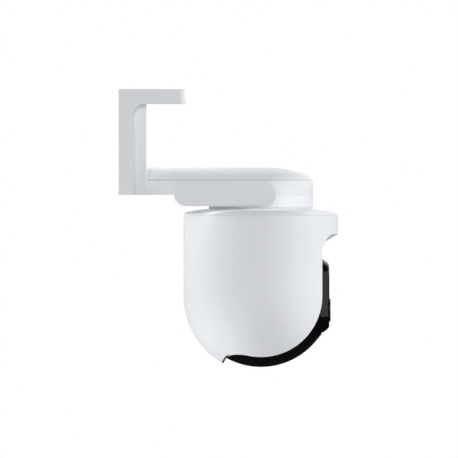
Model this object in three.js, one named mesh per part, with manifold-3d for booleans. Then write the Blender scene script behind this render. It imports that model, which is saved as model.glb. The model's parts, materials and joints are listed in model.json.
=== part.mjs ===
// A pan and tilt monitor camera that hangs from a C-shaped wall bracket.
// Millimetres, +Z up. The origin is the middle of the bracket's wall face, +X points away from the wall
// towards the lens, and Y = 0 is the plane of symmetry of the outside.
import * as THREE from "three";
import { mergeVertices } from "three/addons/utils/BufferGeometryUtils.js";
import Module from "manifold-3d";

const wasm = await Module();
wasm.setup();

// ---------------------------------------------------------------- driving dimensions

const gap = 0.3; // clearance between neighbouring pieces
const segments = { outside: 32, inside: 20, small: 12, arc: 5 }; // sides of a circle, and of a corner

const plate = { halfWidth: 42, halfHeight: 34.3, depth: 10, skin: 2.4 };
const topArm = { reach: 43.6, lean: 0.8, thickness: 9.7, cornerRadius: 4.2, fillet: 6.5 };
const spine = { front: 18.1, flareWidth: 38.6 };
const lowerArm = { top: -24.7, flareEnd: 43, flarePulls: [20, 24], skin: 2.4 };
const pan = { x: 92.4, radius: 33.8 };
const cap = {
  crest: -16.4, fullness: 0.57, skin: 2, rimSkin: 2.2,
  postX: 40, postY: 24, postRadius: 2.6, postRise: 4.6,
};
const baseRing = { top: -34.6, bottom: -42.9, skin: 2.4, floor: 2, chamfer: 1.5, bore: 10.3 };
const seal = { inner: 25, outer: 28, top: -42.4, bottom: -43.4 };
const shaft = { radius: 7, bore: 4.6, flange: 12, flangeThickness: 1.8 };
const gears = { module: 1, wheelTeeth: 40, pinionTeeth: 8, thickness: 3.2 };

const centre = { x: pan.x, z: -99.7 }; // where the pan axis and the tilt axis cross
const drum = {
  radius: 50.2, skin: 3.2, rim: 52.9, band: 0.5,
  landing: 56, landingRadius: 34.2, domeRise: 4.6,
};
const lid = { skin: 2.4, spigotDepth: 3.7, spigotWall: 2 };
const slot = {
  halfWidth: 30.5, top: 40, corner: 12.7, underslope: 30,
  endAngle: 119.3, endCorner: 11.7,
};
const liner = { back: 26, bottom: 15, top: 48 };
const ball = { radius: 46.3, halfWidth: 29.9, skin: 2, split: 0.15 };
const cheek = { inner: 30.8, outer: 32.6, radius: 33, bridgeTop: 50, bridgeBottom: 47.2, bridgeHalf: 24 };
const panel = {
  face: 44.4, root: 28, skin: 2,
  faceHalf: [23.8, 20.8], rootHalf: [28.4, 32.6],
  faceCorner: 7.5, rootCorner: 20,
};
const lens = {
  z: -9.2, ringRadius: 7.7, ringProud: 0.8,
  glassRadius: 5.6, glassBack: 2.2, glassFront: 0.4,
};
const spot = { y: 11, z: 7.5, radius: 5.2, back: 41.5, led: 2 };
const tiltShaft = { radius: 5, flange: 9, flangeThickness: 1.8, end: 39, shortEnd: 34.5 };
const tiltMotor = { radius: 8, inner: 38.3, outer: 45.3 };
const panMotor = { radius: 12, bottom: -31.6, top: -20, earHalf: [3.5, 17.5], earThickness: 1.2 };
const antenna = {
  pivotX: 95.1, pivotZ: -33.8, tipX: 35.6, radius: 7.87,
  inner: 34.8, seam: 38.9, outer: 43.2, skin: 1.6,
};
const antennaPin = { radius: 3.5, flange: 5.5, flangeThickness: 1.4, end: 28 };
const antennaClip = { radius: 6, from: 28.4, to: 29.6 };
const element = [[-50, -8], [38.6, 39.4], [-5, 5]]; // spans from the antenna's pivot
const resetButton = { x: 45, radius: 2, flange: 3, recess: 0.3, travel: 0.6 };

const wallPlate = { thickness: 1.8, margin: 2.8, tabReach: 6.8, tabHalfWidth: 4, tabHeight: 4.5 };
const screwHead = { height: 1.3, sink: 1.6, slotHalf: [0.4, 1.6], slotDepth: 0.6 };
const lockScrew = { x: 4, y: 20, head: 2.6, shank: 1.3, length: 5.7 };
const capScrew = { head: 2.6, shank: 1.2, length: 7.7 };
const portPocket = { x: [24, 33.2], y: 7.5, depth: 1.2 };
const portHole = { x: [26.9, 30.3], y: 4.3 };
const coverRebate = { x: [21, 40.6], y: 38.6, depth: 1.9, lip: 1.4 };
const ceilingHole = { x: 31, y: 25, radius: 2.2 };
const wallHole = { y: 30, z: 22, radius: 2.2 };
const cableHole = { radius: 4, z: -27.8 };
const antennaRecess = { radius: 7, from: 26, to: 30.9 };

const wheelBottom = -39.5; // the pan wheel's
const bearing = { flange: 12.5, flangeTop: -39.8, flangeBottom: -40.6 };
const panShaftTop = -35.2;
const retainingRing = { radius: 10, thickness: 0.8 };
const motorBore = 1.8;
const motorShaft = 1.4;
const tiltWheel = [34, 37.3];
const tiltBush = { wall: 2, from: 30.5, to: 33.4 };
const framePost = { y: 19, radius: 2.6 };
const speaker = { z: 40, radius: 8, front: -44.5, back: -38.5, magnet: 4.5 };
const grille = { slots: [-6, -3, 0, 3, 6], halfWidth: 0.7, halfHeight: 6.5, taper: 1 / 3 };
const lightSensor = { z: 15.5, radius: 1.2 };
const microphone = { z: -18.6, radius: 0.8 };
const barrel = { back: 26, shoulder: 36, radius: 8 };

// Circuit boards, each as its spans in X, Y and Z. The arm's is in the bracket's frame, the others
// in the head's.
const boards = {
  network: [[24, 54], [-20, 20], [-28.6, -27]],
  drive: [[-16, 16], [-37, -35.4], [-16, 40]],
  sensor: [[24, 25.7], [-15, 15], [-24, 6]],
  light: [[37.5, 39.2], [-19, 19], [0.5, 17.5]],
};

const gearDistance = (gears.module * (gears.wheelTeeth + gears.pinionTeeth)) / 2;
const lidUnderside = drum.landing - lid.skin;

// ---------------------------------------------------------------- materials

const paints = {
  white: { color: 0xe9ebee, roughness: 0.42, metalness: 0 },
  black: { color: 0x0b0b0d, roughness: 0.12, metalness: 0 },
  darkGrey: { color: 0x2b2d30, roughness: 0.5, metalness: 0 },
  glass: { color: 0x10131f, roughness: 0.03, metalness: 0 },
  clear: { color: 0xd9dde2, roughness: 0.08, metalness: 0 },
  rubber: { color: 0x26282b, roughness: 0.85, metalness: 0 },
  steel: { color: 0xb9bcc0, roughness: 0.35, metalness: 1 },
  brass: { color: 0xc9a45a, roughness: 0.35, metalness: 1 },
  board: { color: 0x1d5b3a, roughness: 0.55, metalness: 0 },
  nylon: { color: 0xf2efe4, roughness: 0.5, metalness: 0 },
};

// ---------------------------------------------------------------- solids from three.js geometry

// A closed three.js geometry as a solid that can be joined and cut.
function solid(geometry) {
  const bare = geometry.index ? geometry.toNonIndexed() : geometry.clone();
  bare.deleteAttribute("normal");
  bare.deleteAttribute("uv");
  const merged = mergeVertices(bare, 1e-4);
  const corners = merged.index.array;
  const kept = [];
  for (let i = 0; i < corners.length; i += 3) {
    const [a, b, c] = corners.slice(i, i + 3);
    if (a !== b && b !== c && c !== a) kept.push(a, b, c);
  }
  return new wasm.Manifold(new wasm.Mesh({
    numProp: 3,
    vertProperties: merged.attributes.position.array,
    triVerts: new Uint32Array(kept),
  }));
}

function geometryOf(body) {
  const mesh = body.getMesh();
  const geometry = new THREE.BufferGeometry();
  geometry.setAttribute("position", new THREE.BufferAttribute(new Float32Array(mesh.vertProperties), 3));
  geometry.setIndex(new THREE.BufferAttribute(new Uint32Array(mesh.triVerts), 1));
  geometry.computeVertexNormals();
  return geometry;
}

const joined = (first, ...others) => others.reduce((all, next) => all.add(next), first);
const cut = (first, ...others) => others.reduce((rest, next) => rest.subtract(next), first);

// A box between two values on each axis.
function block([x0, x1], [y0, y1], [z0, z1]) {
  const box = new THREE.BoxGeometry(x1 - x0, y1 - y0, z1 - z0);
  return solid(box.translate((x0 + x1) / 2, (y0 + y1) / 2, (z0 + z1) / 2));
}

// A cylinder between two values along an axis; at gives its other two coordinates, in X, Y, Z order.
function rod(axis, [from, to], radius, at = [0, 0], sides = segments.small) {
  const cylinder = new THREE.CylinderGeometry(radius, radius, to - from, sides);
  const middle = (from + to) / 2;
  if (axis === "x") return solid(cylinder.rotateZ(-Math.PI / 2).translate(middle, at[0], at[1]));
  if (axis === "y") return solid(cylinder.translate(at[0], middle, at[1]));
  return solid(cylinder.rotateX(Math.PI / 2).translate(at[0], at[1], middle));
}

// A tube, or a washer when it is short.
function tube(axis, span, outer, inner, at, sides) {
  return cut(rod(axis, span, outer, at, sides), rod(axis, [span[0] - 1, span[1] + 1], inner, at, sides));
}

// A closed profile of [radius, z] pairs turned about the Z axis.
function turned(profile, sides = segments.outside) {
  const points = profile.map(([radius, z]) => new THREE.Vector2(radius, z));
  if (THREE.ShapeUtils.area(points) < 0) points.reverse();
  points.push(points[0].clone());
  return solid(new THREE.LatheGeometry(points, sides).rotateX(Math.PI / 2));
}

// A shape drawn in X and Y, standing between two heights.
function prismZ(shape, [z0, z1], curveSegments = segments.small) {
  const options = { depth: z1 - z0, bevelEnabled: false, curveSegments };
  return solid(new THREE.ExtrudeGeometry(shape, options).translate(0, 0, z0));
}

// A shape drawn in X and Z, reaching between two values of Y.
function prismY(shape, [y0, y1], curveSegments = segments.small) {
  const options = { depth: y1 - y0, bevelEnabled: false, curveSegments };
  return solid(new THREE.ExtrudeGeometry(shape, options).rotateX(Math.PI / 2).translate(0, y1, 0));
}

// A shape drawn in Y and Z, reaching between two values of X.
function prismX(shape, [x0, x1], curveSegments = segments.arc) {
  const options = { depth: x1 - x0, bevelEnabled: false, curveSegments };
  const turn = new THREE.Matrix4().set(0, 0, 1, x0, 1, 0, 0, 0, 0, 1, 0, 0, 0, 0, 0, 1);
  return solid(new THREE.ExtrudeGeometry(shape, options).applyMatrix4(turn));
}

function polygon(points) {
  return new THREE.Shape(points.map(([x, y]) => new THREE.Vector2(x, y)));
}

// The outline of a rectangle with round corners, as points in order.
function roundedOutline([halfWidth, halfHeight], corner, steps = segments.arc) {
  const points = [];
  for (let quarter = 0; quarter < 4; quarter += 1) {
    const signX = quarter === 0 || quarter === 3 ? 1 : -1;
    const signY = quarter < 2 ? 1 : -1;
    for (let step = 0; step <= steps; step += 1) {
      const angle = ((quarter + step / steps) * Math.PI) / 2;
      const x = signX * (halfWidth - corner) + corner * Math.cos(angle);
      const y = signY * (halfHeight - corner) + corner * Math.sin(angle);
      points.push([x, y]);
    }
  }
  return points;
}

// A solid between two outlines of equal length, drawn in Y and Z at two values of X. Each outline runs
// anticlockwise round its first point, which sees all of it.
function loft(backOutline, frontOutline, [back, front]) {
  const count = backOutline.length;
  const rings = [[back, backOutline], [front, frontOutline]];
  const positions = rings.flatMap(([x, outline]) => outline.flatMap(([y, z]) => [x, y, z]));
  const faces = [];
  for (let i = 0; i < count; i += 1) {
    const next = (i + 1) % count;
    faces.push(i, next, count + next, i, count + next, count + i);
    if (i > 0 && i < count - 1) faces.push(0, i + 1, i, count, count + i, count + i + 1);
  }
  const geometry = new THREE.BufferGeometry();
  geometry.setAttribute("position", new THREE.Float32BufferAttribute(positions, 3));
  geometry.setIndex(faces);
  return solid(geometry);
}

// ---------------------------------------------------------------- pieces and groups

const camera = new THREE.Group();
const head = new THREE.Group(); // turns about the vertical pan axis
const eye = new THREE.Group(); // tilts inside the head
head.position.set(centre.x, 0, centre.z);
camera.add(head);
head.add(eye);

function piece(parent, name, body, paint) {
  const mesh = new THREE.Mesh(geometryOf(body), new THREE.MeshStandardMaterial(paints[paint]));
  mesh.name = name;
  parent.add(mesh);
}

const sides = [["left", -1], ["right", 1]];

// ---------------------------------------------------------------- gears

// A toothed wheel's outline, with straight flanks and play between the teeth.
function gearOutline(teeth, firstTooth) {
  const pitchRadius = (gears.module * teeth) / 2;
  const tip = { radius: pitchRadius + 0.75 * gears.module, half: 0.27 };
  const root = { radius: pitchRadius - 1.05 * gears.module, half: 0.78 };
  const points = [];
  for (let tooth = 0; tooth < teeth; tooth += 1) {
    const middle = firstTooth + (tooth * 2 * Math.PI) / teeth;
    for (const [end, sign] of [[root, -1], [tip, -1], [tip, 1], [root, 1]]) {
      const angle = middle + (sign * end.half) / end.radius;
      points.push([end.radius * Math.cos(angle), end.radius * Math.sin(angle)]);
    }
  }
  return polygon(points);
}

const wheelOutline = gearOutline(gears.wheelTeeth, 0);
const pinionOutline = gearOutline(gears.pinionTeeth, Math.PI / gears.pinionTeeth);

// ---------------------------------------------------------------- bracket

// The lower arm's plan: an S-shaped flare on each side out to the wall plate, and a round end.
function armPlan() {
  const { flarePulls, flareEnd } = lowerArm;
  const [near, far] = flarePulls;
  const wide = spine.flareWidth;
  const plan = new THREE.Shape();
  plan.moveTo(0, -wide);
  plan.lineTo(plate.depth, -wide);
  plan.bezierCurveTo(near, -wide, far, -pan.radius, flareEnd, -pan.radius);
  plan.lineTo(pan.x, -pan.radius);
  plan.absarc(pan.x, 0, pan.radius, -Math.PI / 2, Math.PI / 2, false);
  plan.lineTo(flareEnd, pan.radius);
  plan.bezierCurveTo(far, pan.radius, near, wide, plate.depth, wide);
  plan.lineTo(0, wide);
  return plan;
}

// The wall plate and the top arm, seen from the side.
function plateAndTopArm() {
  const { halfHeight, depth } = plate;
  const underside = topArmUnderside;
  const side = new THREE.Shape();
  side.moveTo(0, -halfHeight);
  side.lineTo(depth, -halfHeight);
  side.lineTo(depth, underside - topArm.fillet);
  const bend = topArm.fillet;
  side.absarc(depth + bend, underside - bend, bend, Math.PI, Math.PI / 2, true);
  side.lineTo(topArm.reach, underside);
  side.lineTo(topArm.reach - topArm.lean, halfHeight);
  side.lineTo(0, halfHeight);
  const middleX = topArm.reach / 2;
  const outline = roundedOutline([middleX, plate.halfWidth], topArm.cornerRadius)
    .map(([x, y]) => [x < 0 ? 0 : x + middleX, x < 0 ? Math.sign(y) * plate.halfWidth : y]);
  const plan = prismZ(polygon(dropRepeats(outline)), [-halfHeight - 1, halfHeight + 1]);
  return prismY(side, [-plate.halfWidth - 1, plate.halfWidth + 1], segments.arc).intersect(plan);
}

function dropRepeats(points) {
  const same = ([x, y], [u, v]) => Math.hypot(x - u, y - v) < 1e-6;
  return points.filter((point, i) => !same(point, points[(i + 1) % points.length]));
}

// The spine and the lower arm, seen from the side.
function lowerArmSide() {
  const bottom = -plate.halfHeight;
  const side = new THREE.Shape();
  side.moveTo(0, bottom);
  side.lineTo(pan.x + pan.radius + 1, bottom);
  side.lineTo(pan.x + pan.radius + 1, lowerArm.top);
  side.lineTo(spine.front, lowerArm.top);
  side.lineTo(spine.front, topArmUnderside + 1);
  side.lineTo(0, topArmUnderside + 1);
  return side;
}

function stadium(startX, halfWidth) {
  const plan = new THREE.Shape();
  plan.moveTo(startX, -halfWidth);
  plan.lineTo(pan.x, -halfWidth);
  plan.absarc(pan.x, 0, halfWidth, -Math.PI / 2, Math.PI / 2, false);
  plan.lineTo(startX, halfWidth);
  return plan;
}

const armFloor = -plate.halfHeight + lowerArm.skin;
const topArmUnderside = plate.halfHeight - topArm.thickness;

// A span in Y on one side of the middle plane.
const onSide = (sign, from, to) => (sign > 0 ? [from, to] : [-to, -from]);

// The wiring room in the arm, the hollows behind the plate and in the spine, and the top arm's hollow.
function bracketRooms() {
  const { halfWidth, halfHeight, depth, skin } = plate;
  const { x, y, lip } = coverRebate;
  const arm = stadium(spine.front + skin, pan.radius - lowerArm.skin);
  const plateHollow = halfHeight - skin;
  const spineHalf = pan.radius - 3;
  const spineHollow = [lowerArm.top + skin, topArmUnderside - skin];
  return [
    prismZ(arm, [armFloor, lowerArm.top + 1], segments.outside / 2),
    block([-1, depth - skin], [-halfWidth + skin, halfWidth - skin], [-plateHollow, plateHollow]),
    block([-1, spine.front - skin], [-spineHalf, spineHalf], spineHollow),
    block(x, [-y, y], [topArmUnderside - 1, topArmUnderside + coverRebate.depth]),
    block([x[0] + lip, x[1] - lip], [-y + lip, y - lip], [topArmUnderside, plateHollow]),
  ];
}

// The openings in the middle of the arm: cable, pan shaft, pan motor, reset button and power port.
function middleHoles() {
  const bottom = -plate.halfHeight;
  const throughFloor = [bottom - 1, armFloor + 1];
  return [
    rod("x", [-1, spine.front + plate.skin + 1], cableHole.radius, [0, cableHole.z]),
    rod("z", throughFloor, shaft.bore + 0.4, [pan.x, 0]),
    rod("z", throughFloor, motorShaft + 0.8, [pan.x - gearDistance, 0]),
    rod("z", throughFloor, resetButton.radius + gap, [resetButton.x, 0]),
    block(portPocket.x, [-portPocket.y, portPocket.y], [bottom - 1, bottom + portPocket.depth]),
    block(portHole.x, [-portHole.y, portHole.y], throughFloor),
  ];
}

// The openings on one side: ceiling screw, lid screw, locking screw and antenna pin.
function sideHoles(sign) {
  const { halfHeight, skin } = plate;
  const bottom = -halfHeight;
  const capAt = [cap.postX, sign * cap.postY];
  const lockAt = [lockScrew.x, sign * lockScrew.y];
  const pinAt = [antenna.pivotX, antenna.pivotZ];
  const ceilingAt = [ceilingHole.x, sign * ceilingHole.y];
  const pinSpan = onSide(sign, antennaRecess.from, plate.halfWidth);
  return [
    rod("z", [halfHeight - skin - 1, halfHeight + 1], ceilingHole.radius, ceilingAt),
    rod("z", [bottom - 1, bottom + screwHead.sink], capScrew.head + gap, capAt),
    rod("z", [bottom - 1, armFloor + 1], capScrew.shank + gap, capAt),
    rod("z", [bottom - 1, bottom + screwHead.sink], lockScrew.head + gap, lockAt),
    rod("z", [bottom - 1, bottom + skin + 1], lockScrew.shank + gap, lockAt),
    rod("y", pinSpan, antennaPin.radius + gap, pinAt),
    rod("y", onSide(sign, antennaRecess.from, antennaRecess.to), antennaRecess.radius, pinAt),
  ];
}

function bracketFrame() {
  const arm = prismZ(armPlan(), [-plate.halfHeight, topArmUnderside + 1], segments.outside / 2)
    .intersect(prismY(lowerArmSide(), [-plate.halfWidth, plate.halfWidth]));
  const outside = joined(plateAndTopArm(), arm);
  return cut(outside, ...bracketRooms(), ...middleHoles(), ...sideHoles(-1), ...sideHoles(1));
}

// The backing plate that is screwed to the wall; two tabs take the locking screws.
function wallPlateBody() {
  const { thickness, margin, tabReach, tabHalfWidth, tabHeight } = wallPlate;
  const halfWidth = plate.halfWidth - margin;
  const halfHeight = plate.halfHeight - margin;
  const tabSpan = [-halfHeight, -halfHeight + tabHeight];
  const holeSpan = [-halfHeight - 1, -halfHeight + tabHeight + 1];
  let body = block([0, thickness], [-halfWidth, halfWidth], [-halfHeight, halfHeight]);
  for (const [, sign] of sides) {
    const y = sign * lockScrew.y;
    body = body.add(block([thickness - 0.5, tabReach], [y - tabHalfWidth, y + tabHalfWidth], tabSpan));
    body = body.subtract(rod("z", holeSpan, lockScrew.shank + gap, [lockScrew.x, y]));
    for (const z of [-wallHole.z, wallHole.z]) {
      body = body.subtract(rod("x", [-1, thickness + 1], wallHole.radius, [sign * wallHole.y, z]));
    }
  }
  return body;
}

function topArmCover() {
  const [x0, x1] = coverRebate.x;
  const halfWidth = coverRebate.y - gap;
  const height = [topArmUnderside, topArmUnderside + coverRebate.depth - gap];
  return block([x0 + gap, x1 - gap], [-halfWidth, halfWidth], height);
}

// The domed lid's section: the height above its rim at a distance from its middle line.
function domeHeight(distance, halfWidth, height) {
  return height * (1 - Math.min(1, (distance / halfWidth) ** 2)) ** cap.fullness;
}

function domedStadium(startX, halfWidth, rim, crest) {
  const steps = 7;
  const arch = [];
  for (let i = 0; i <= steps; i += 1) {
    const distance = halfWidth * Math.cos((i * Math.PI) / 2 / steps);
    arch.push([distance, rim + domeHeight(distance, halfWidth, crest - rim)]);
  }
  arch[steps][0] = 0;
  const end = turned([[0, rim], ...arch]).translate(pan.x, 0, 0);
  const mirrored = arch.slice(0, steps).reverse().map(([y, z]) => [-y, z]);
  const run = prismX(polygon([...arch, ...mirrored]), [startX, pan.x]);
  return end.add(run);
}

function bracketCap() {
  const startX = spine.front + gap;
  const rim = lowerArm.top + gap;
  const outside = domedStadium(startX, pan.radius, rim, cap.crest);
  const roomHalf = pan.radius - cap.rimSkin;
  const inside = domedStadium(startX + cap.skin, roomHalf, rim - 0.01, cap.crest - cap.skin);
  let body = cut(outside, inside);
  for (const [, sign] of sides) {
    const at = [cap.postX, sign * cap.postY];
    body = body.add(rod("z", [armFloor + gap, rim + cap.postRise], cap.postRadius, at));
    body = body.subtract(rod("z", [armFloor - 1, rim + 1], capScrew.shank + gap, at));
  }
  return body;
}

// A slotted screw driven up from the arm's underside.
function screw([x, y], { head, shank, length }) {
  const bottom = -plate.halfHeight + gap;
  const [slotX, slotY] = screwHead.slotHalf;
  const body = joined(
    rod("z", [bottom, bottom + screwHead.height], head, [x, y]),
    rod("z", [bottom + 1, bottom + length], shank, [x, y]),
  );
  const slotSpan = [bottom - 1, bottom + screwHead.slotDepth];
  return body.subtract(block([x - slotX, x + slotX], [y - slotY, y + slotY], slotSpan));
}

function makeBracket() {
  piece(camera, "wall_plate", wallPlateBody(), "steel");
  piece(camera, "bracket_frame", bracketFrame(), "white");
  piece(camera, "top_arm_cover", topArmCover(), "white");
  piece(camera, "bracket_cap", bracketCap(), "white");
  for (const [side, sign] of sides) {
    piece(camera, "lock_screw_" + side, screw([lockScrew.x, sign * lockScrew.y], lockScrew), "steel");
    piece(camera, "cap_screw_" + side, screw([cap.postX, sign * cap.postY], capScrew), "steel");
  }
}

// ---------------------------------------------------------------- electronics in the arm

const [networkBottom] = boards.network[2];

function usbPort() {
  const [x0, x1] = [portHole.x[0] + gap, portHole.x[1] - gap];
  const halfWidth = portHole.y - gap;
  const bottom = -plate.halfHeight + portPocket.depth + 0.1;
  const shell = block([x0, x1], [-halfWidth, halfWidth], [bottom, networkBottom - gap]);
  const mouth = block([x0 + 0.5, x1 - 0.5], [-halfWidth + 0.6, halfWidth - 0.6], [bottom - 1, bottom + 3]);
  return cut(shell, mouth);
}

function portCover() {
  const [x0, x1] = portPocket.x;
  const halfWidth = portPocket.y - gap;
  const bottom = -plate.halfHeight;
  return block([x0 + gap, x1 - gap], [-halfWidth, halfWidth], [bottom, bottom + portPocket.depth - gap]);
}

function makeArmElectronics() {
  const { x, radius, flange, recess, travel } = resetButton;
  const flangeSpan = [armFloor + gap, armFloor + gap + 0.8];
  const stem = rod("z", [-plate.halfHeight + recess, flangeSpan[1]], radius, [x, 0]);
  const button = joined(stem, rod("z", flangeSpan, flange, [x, 0]));
  const switchSpan = [flangeSpan[1] + travel + gap, networkBottom - gap];
  const switchBody = block([x - flange, x + flange], [-flange, flange], switchSpan);
  piece(camera, "network_board", block(...boards.network), "board");
  piece(camera, "usb_port", usbPort(), "steel");
  piece(camera, "port_cover", portCover(), "rubber");
  piece(camera, "reset_switch", switchBody, "darkGrey");
  piece(camera, "reset_button", button, "darkGrey");
}

// ---------------------------------------------------------------- pan drive

const wheelSpan = [wheelBottom, wheelBottom + gears.thickness];
const panMotorAt = [pan.x - gearDistance, 0];

function baseRingBody() {
  const { top, bottom, skin, floor, chamfer, bore } = baseRing;
  const inner = pan.radius - skin;
  const groove = seal.top + gap;
  const profile = [
    [bore, bottom + floor], [inner, bottom + floor], [inner, top], [pan.radius, top],
    [pan.radius, bottom + chamfer], [pan.radius - chamfer, bottom],
    [seal.outer + gap, bottom], [seal.outer + gap, groove],
    [seal.inner - gap, groove], [seal.inner - gap, bottom],
    [bore, bottom],
  ];
  const pinAt = [antenna.pivotX, antenna.pivotZ];
  const pinHoles = sides.map(([, sign]) => {
    return rod("y", onSide(sign, antennaPin.end, plate.halfWidth), antennaPin.radius + gap, pinAt);
  });
  return cut(turned(profile).translate(pan.x, 0, 0), ...pinHoles);
}

function panMotorBody() {
  const { radius, bottom, top } = panMotor;
  const [x] = panMotorAt;
  const [earWidth, earReach] = panMotor.earHalf;
  const earSpan = [bottom, bottom + panMotor.earThickness];
  const body = rod("z", [bottom, top], radius, panMotorAt, segments.inside);
  const ears = block([x - earWidth, x + earWidth], [-earReach, earReach], earSpan);
  return cut(joined(body, ears), rod("z", [bottom - 1, bottom + 6], motorBore, panMotorAt));
}

function panPinion() {
  const teeth = prismZ(pinionOutline, wheelSpan).translate(panMotorAt[0], 0, 0);
  return teeth.add(rod("z", [wheelSpan[0] - 0.6, panMotor.bottom + 4.5], motorShaft, panMotorAt));
}

// The flanged bush in the base ring that the pan shaft turns in.
function panBearing() {
  const [inside, outside] = [shaft.radius + gap, baseRing.bore - gap];
  const { flange, flangeTop, flangeBottom } = bearing;
  const bottom = baseRing.bottom - gap;
  const profile = [
    [inside, bottom], [outside, bottom], [outside, flangeBottom],
    [flange, flangeBottom], [flange, flangeTop], [inside, flangeTop],
  ];
  return turned(profile, segments.inside).translate(pan.x, 0, 0);
}

function makePanDrive() {
  const sealSpan = [seal.bottom, seal.top];
  const sealRing = tube("z", sealSpan, seal.outer, seal.inner, [pan.x, 0], segments.inside);
  piece(camera, "base_ring", baseRingBody(), "white");
  piece(camera, "base_seal", sealRing, "nylon");
  piece(camera, "pan_bearing", panBearing(), "nylon");
  piece(camera, "pan_motor", panMotorBody(), "steel");
  piece(camera, "pan_pinion", panPinion(), "brass");
}

// The wheel, the hollow shaft and its ring turn with the head, so their heights start at its centre.
function makePanShaft() {
  const toHead = -centre.z;
  const top = panShaftTop + toHead;
  const flangeTop = lidUnderside - gap;
  const flangeBottom = flangeTop - shaft.flangeThickness;
  const holeSpan = [wheelSpan[0] - 1, wheelSpan[1] + 1];
  const hole = rod("z", holeSpan, shaft.radius + gap, [0, 0], segments.inside);
  const wheel = cut(prismZ(wheelOutline, wheelSpan), hole);
  const tubeProfile = [
    [shaft.bore, top], [shaft.radius, top], [shaft.radius, flangeTop],
    [shaft.flange, flangeTop], [shaft.flange, flangeBottom], [shaft.bore, flangeBottom],
  ];
  const ringSpan = [top - retainingRing.thickness, top];
  const ring = tube("z", ringSpan, retainingRing.radius, shaft.radius + gap, [0, 0], segments.inside);
  piece(head, "pan_gear", wheel.translate(0, 0, toHead), "nylon");
  piece(head, "pan_shaft", turned(tubeProfile, segments.inside), "darkGrey");
  piece(head, "pan_retaining_ring", ring, "steel");
}

// ---------------------------------------------------------------- head: the drum that pans

function drumProfile(radius, top) {
  const steps = segments.outside / 4;
  const points = [[0, top], [radius, top]];
  for (let i = 0; i <= steps; i += 1) {
    const angle = (i * Math.PI) / 2 / steps;
    points.push([i === steps ? 0 : radius * Math.cos(angle), -radius * Math.sin(angle)]);
  }
  return points;
}

// The room cut for the window's arch. Its edge lies on the drum, and its roof slopes down inwards
// from there.
function archRoom() {
  const { halfWidth, top, corner, underslope } = slot;
  const rise = Math.tan(THREE.MathUtils.degToRad(underslope));
  const reach = drum.radius + 5;
  const arch = [[-halfWidth, -2 * reach], [halfWidth, -2 * reach]];
  const half = roundedOutline([halfWidth, top], corner).filter(([, z]) => z > 0);
  const crown = Array.from({ length: 7 }, (_, i) => [(halfWidth - corner) * (1 - (i + 1) / 4), top]);
  arch.push(...half.filter(([y]) => y > 0), ...crown, ...half.filter(([y]) => y < 0));
  const slid = (x) => arch.map(([y, z]) => [y, z + rise * (x - Math.sqrt(drum.radius ** 2 - y ** 2))]);
  return loft(slid(0), slid(reach), [0, reach]);
}

// The room cut for the slot that goes under the drum, with its round-cornered rear end.
function slotRoom() {
  const { halfWidth, endAngle, endCorner } = slot;
  const reach = drum.radius + 5;
  const shape = new THREE.Shape();
  shape.moveTo(halfWidth - endCorner, 0);
  shape.absarc(halfWidth - endCorner, endCorner, endCorner, -Math.PI / 2, 0, false);
  shape.lineTo(halfWidth, reach);
  shape.lineTo(-halfWidth, reach);
  shape.absarc(-halfWidth + endCorner, endCorner, endCorner, Math.PI, 1.5 * Math.PI, false);
  const turn = THREE.MathUtils.degToRad(endAngle);
  const out = new THREE.Vector3(Math.cos(turn), 0, -Math.sin(turn));
  const along = new THREE.Vector3(Math.sin(turn), 0, Math.cos(turn));
  const frame = new THREE.Matrix4().makeBasis(new THREE.Vector3(0, 1, 0), along, out);
  const options = { depth: reach, bevelEnabled: false, curveSegments: segments.arc };
  return solid(new THREE.ExtrudeGeometry(shape, options).applyMatrix4(frame));
}

function housingShell() {
  const top = drum.rim - drum.band - gap;
  const inner = drum.radius - drum.skin;
  const outside = turned(drumProfile(drum.radius, top));
  const inside = turned(drumProfile(inner, top + 1));
  const soundSlots = grille.slots.map((y) => {
    const half = grille.halfHeight - grille.taper * Math.abs(y);
    const width = [y - grille.halfWidth, y + grille.halfWidth];
    return block([-drum.radius - 1, -inner + 4], width, [speaker.z - half, speaker.z + half]);
  });
  return cut(outside, inside, archRoom(), slotRoom(), ...soundSlots);
}

function housingTop() {
  const { radius, rim, band, landing, landingRadius, domeRise } = drum;
  const dome = [];
  const steps = 5;
  for (let i = 0; i <= steps; i += 1) {
    const r = landingRadius + ((radius - landingRadius) * i) / steps;
    dome.push([r, rim + domeRise * Math.sqrt(1 - (r / radius) ** 2)]);
  }
  const inner = radius - drum.skin - gap;
  const bore = shaft.radius + gap;
  const bandBottom = rim - band;
  const spigotBottom = bandBottom - lid.spigotDepth;
  const spigotInside = inner - lid.spigotWall;
  const profile = [
    [bore, landing], [landingRadius - 0.4, landing], ...dome,
    [radius, bandBottom], [inner, bandBottom], [inner, spigotBottom], [spigotInside, spigotBottom],
    [spigotInside, rim - 1], [landingRadius, lidUnderside], [bore, lidUnderside],
  ];
  return turned(profile);
}

// The piece that carries the visor's sloping underside inwards to the eye.
function visorLiner() {
  const inner = drum.radius - drum.skin - gap;
  const halfWidth = slot.halfWidth - gap;
  const blank = block([liner.back, inner], [-halfWidth, halfWidth], [liner.bottom, liner.top]);
  const drumBore = rod("z", [liner.bottom - 1, liner.top + 1], inner, [0, 0], segments.outside);
  const { outside } = segments;
  const eyeRoom = solid(new THREE.SphereGeometry(ball.radius + 0.8, outside, outside / 2));
  return cut(blank.intersect(drumBore), eyeRoom, archRoom());
}

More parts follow.
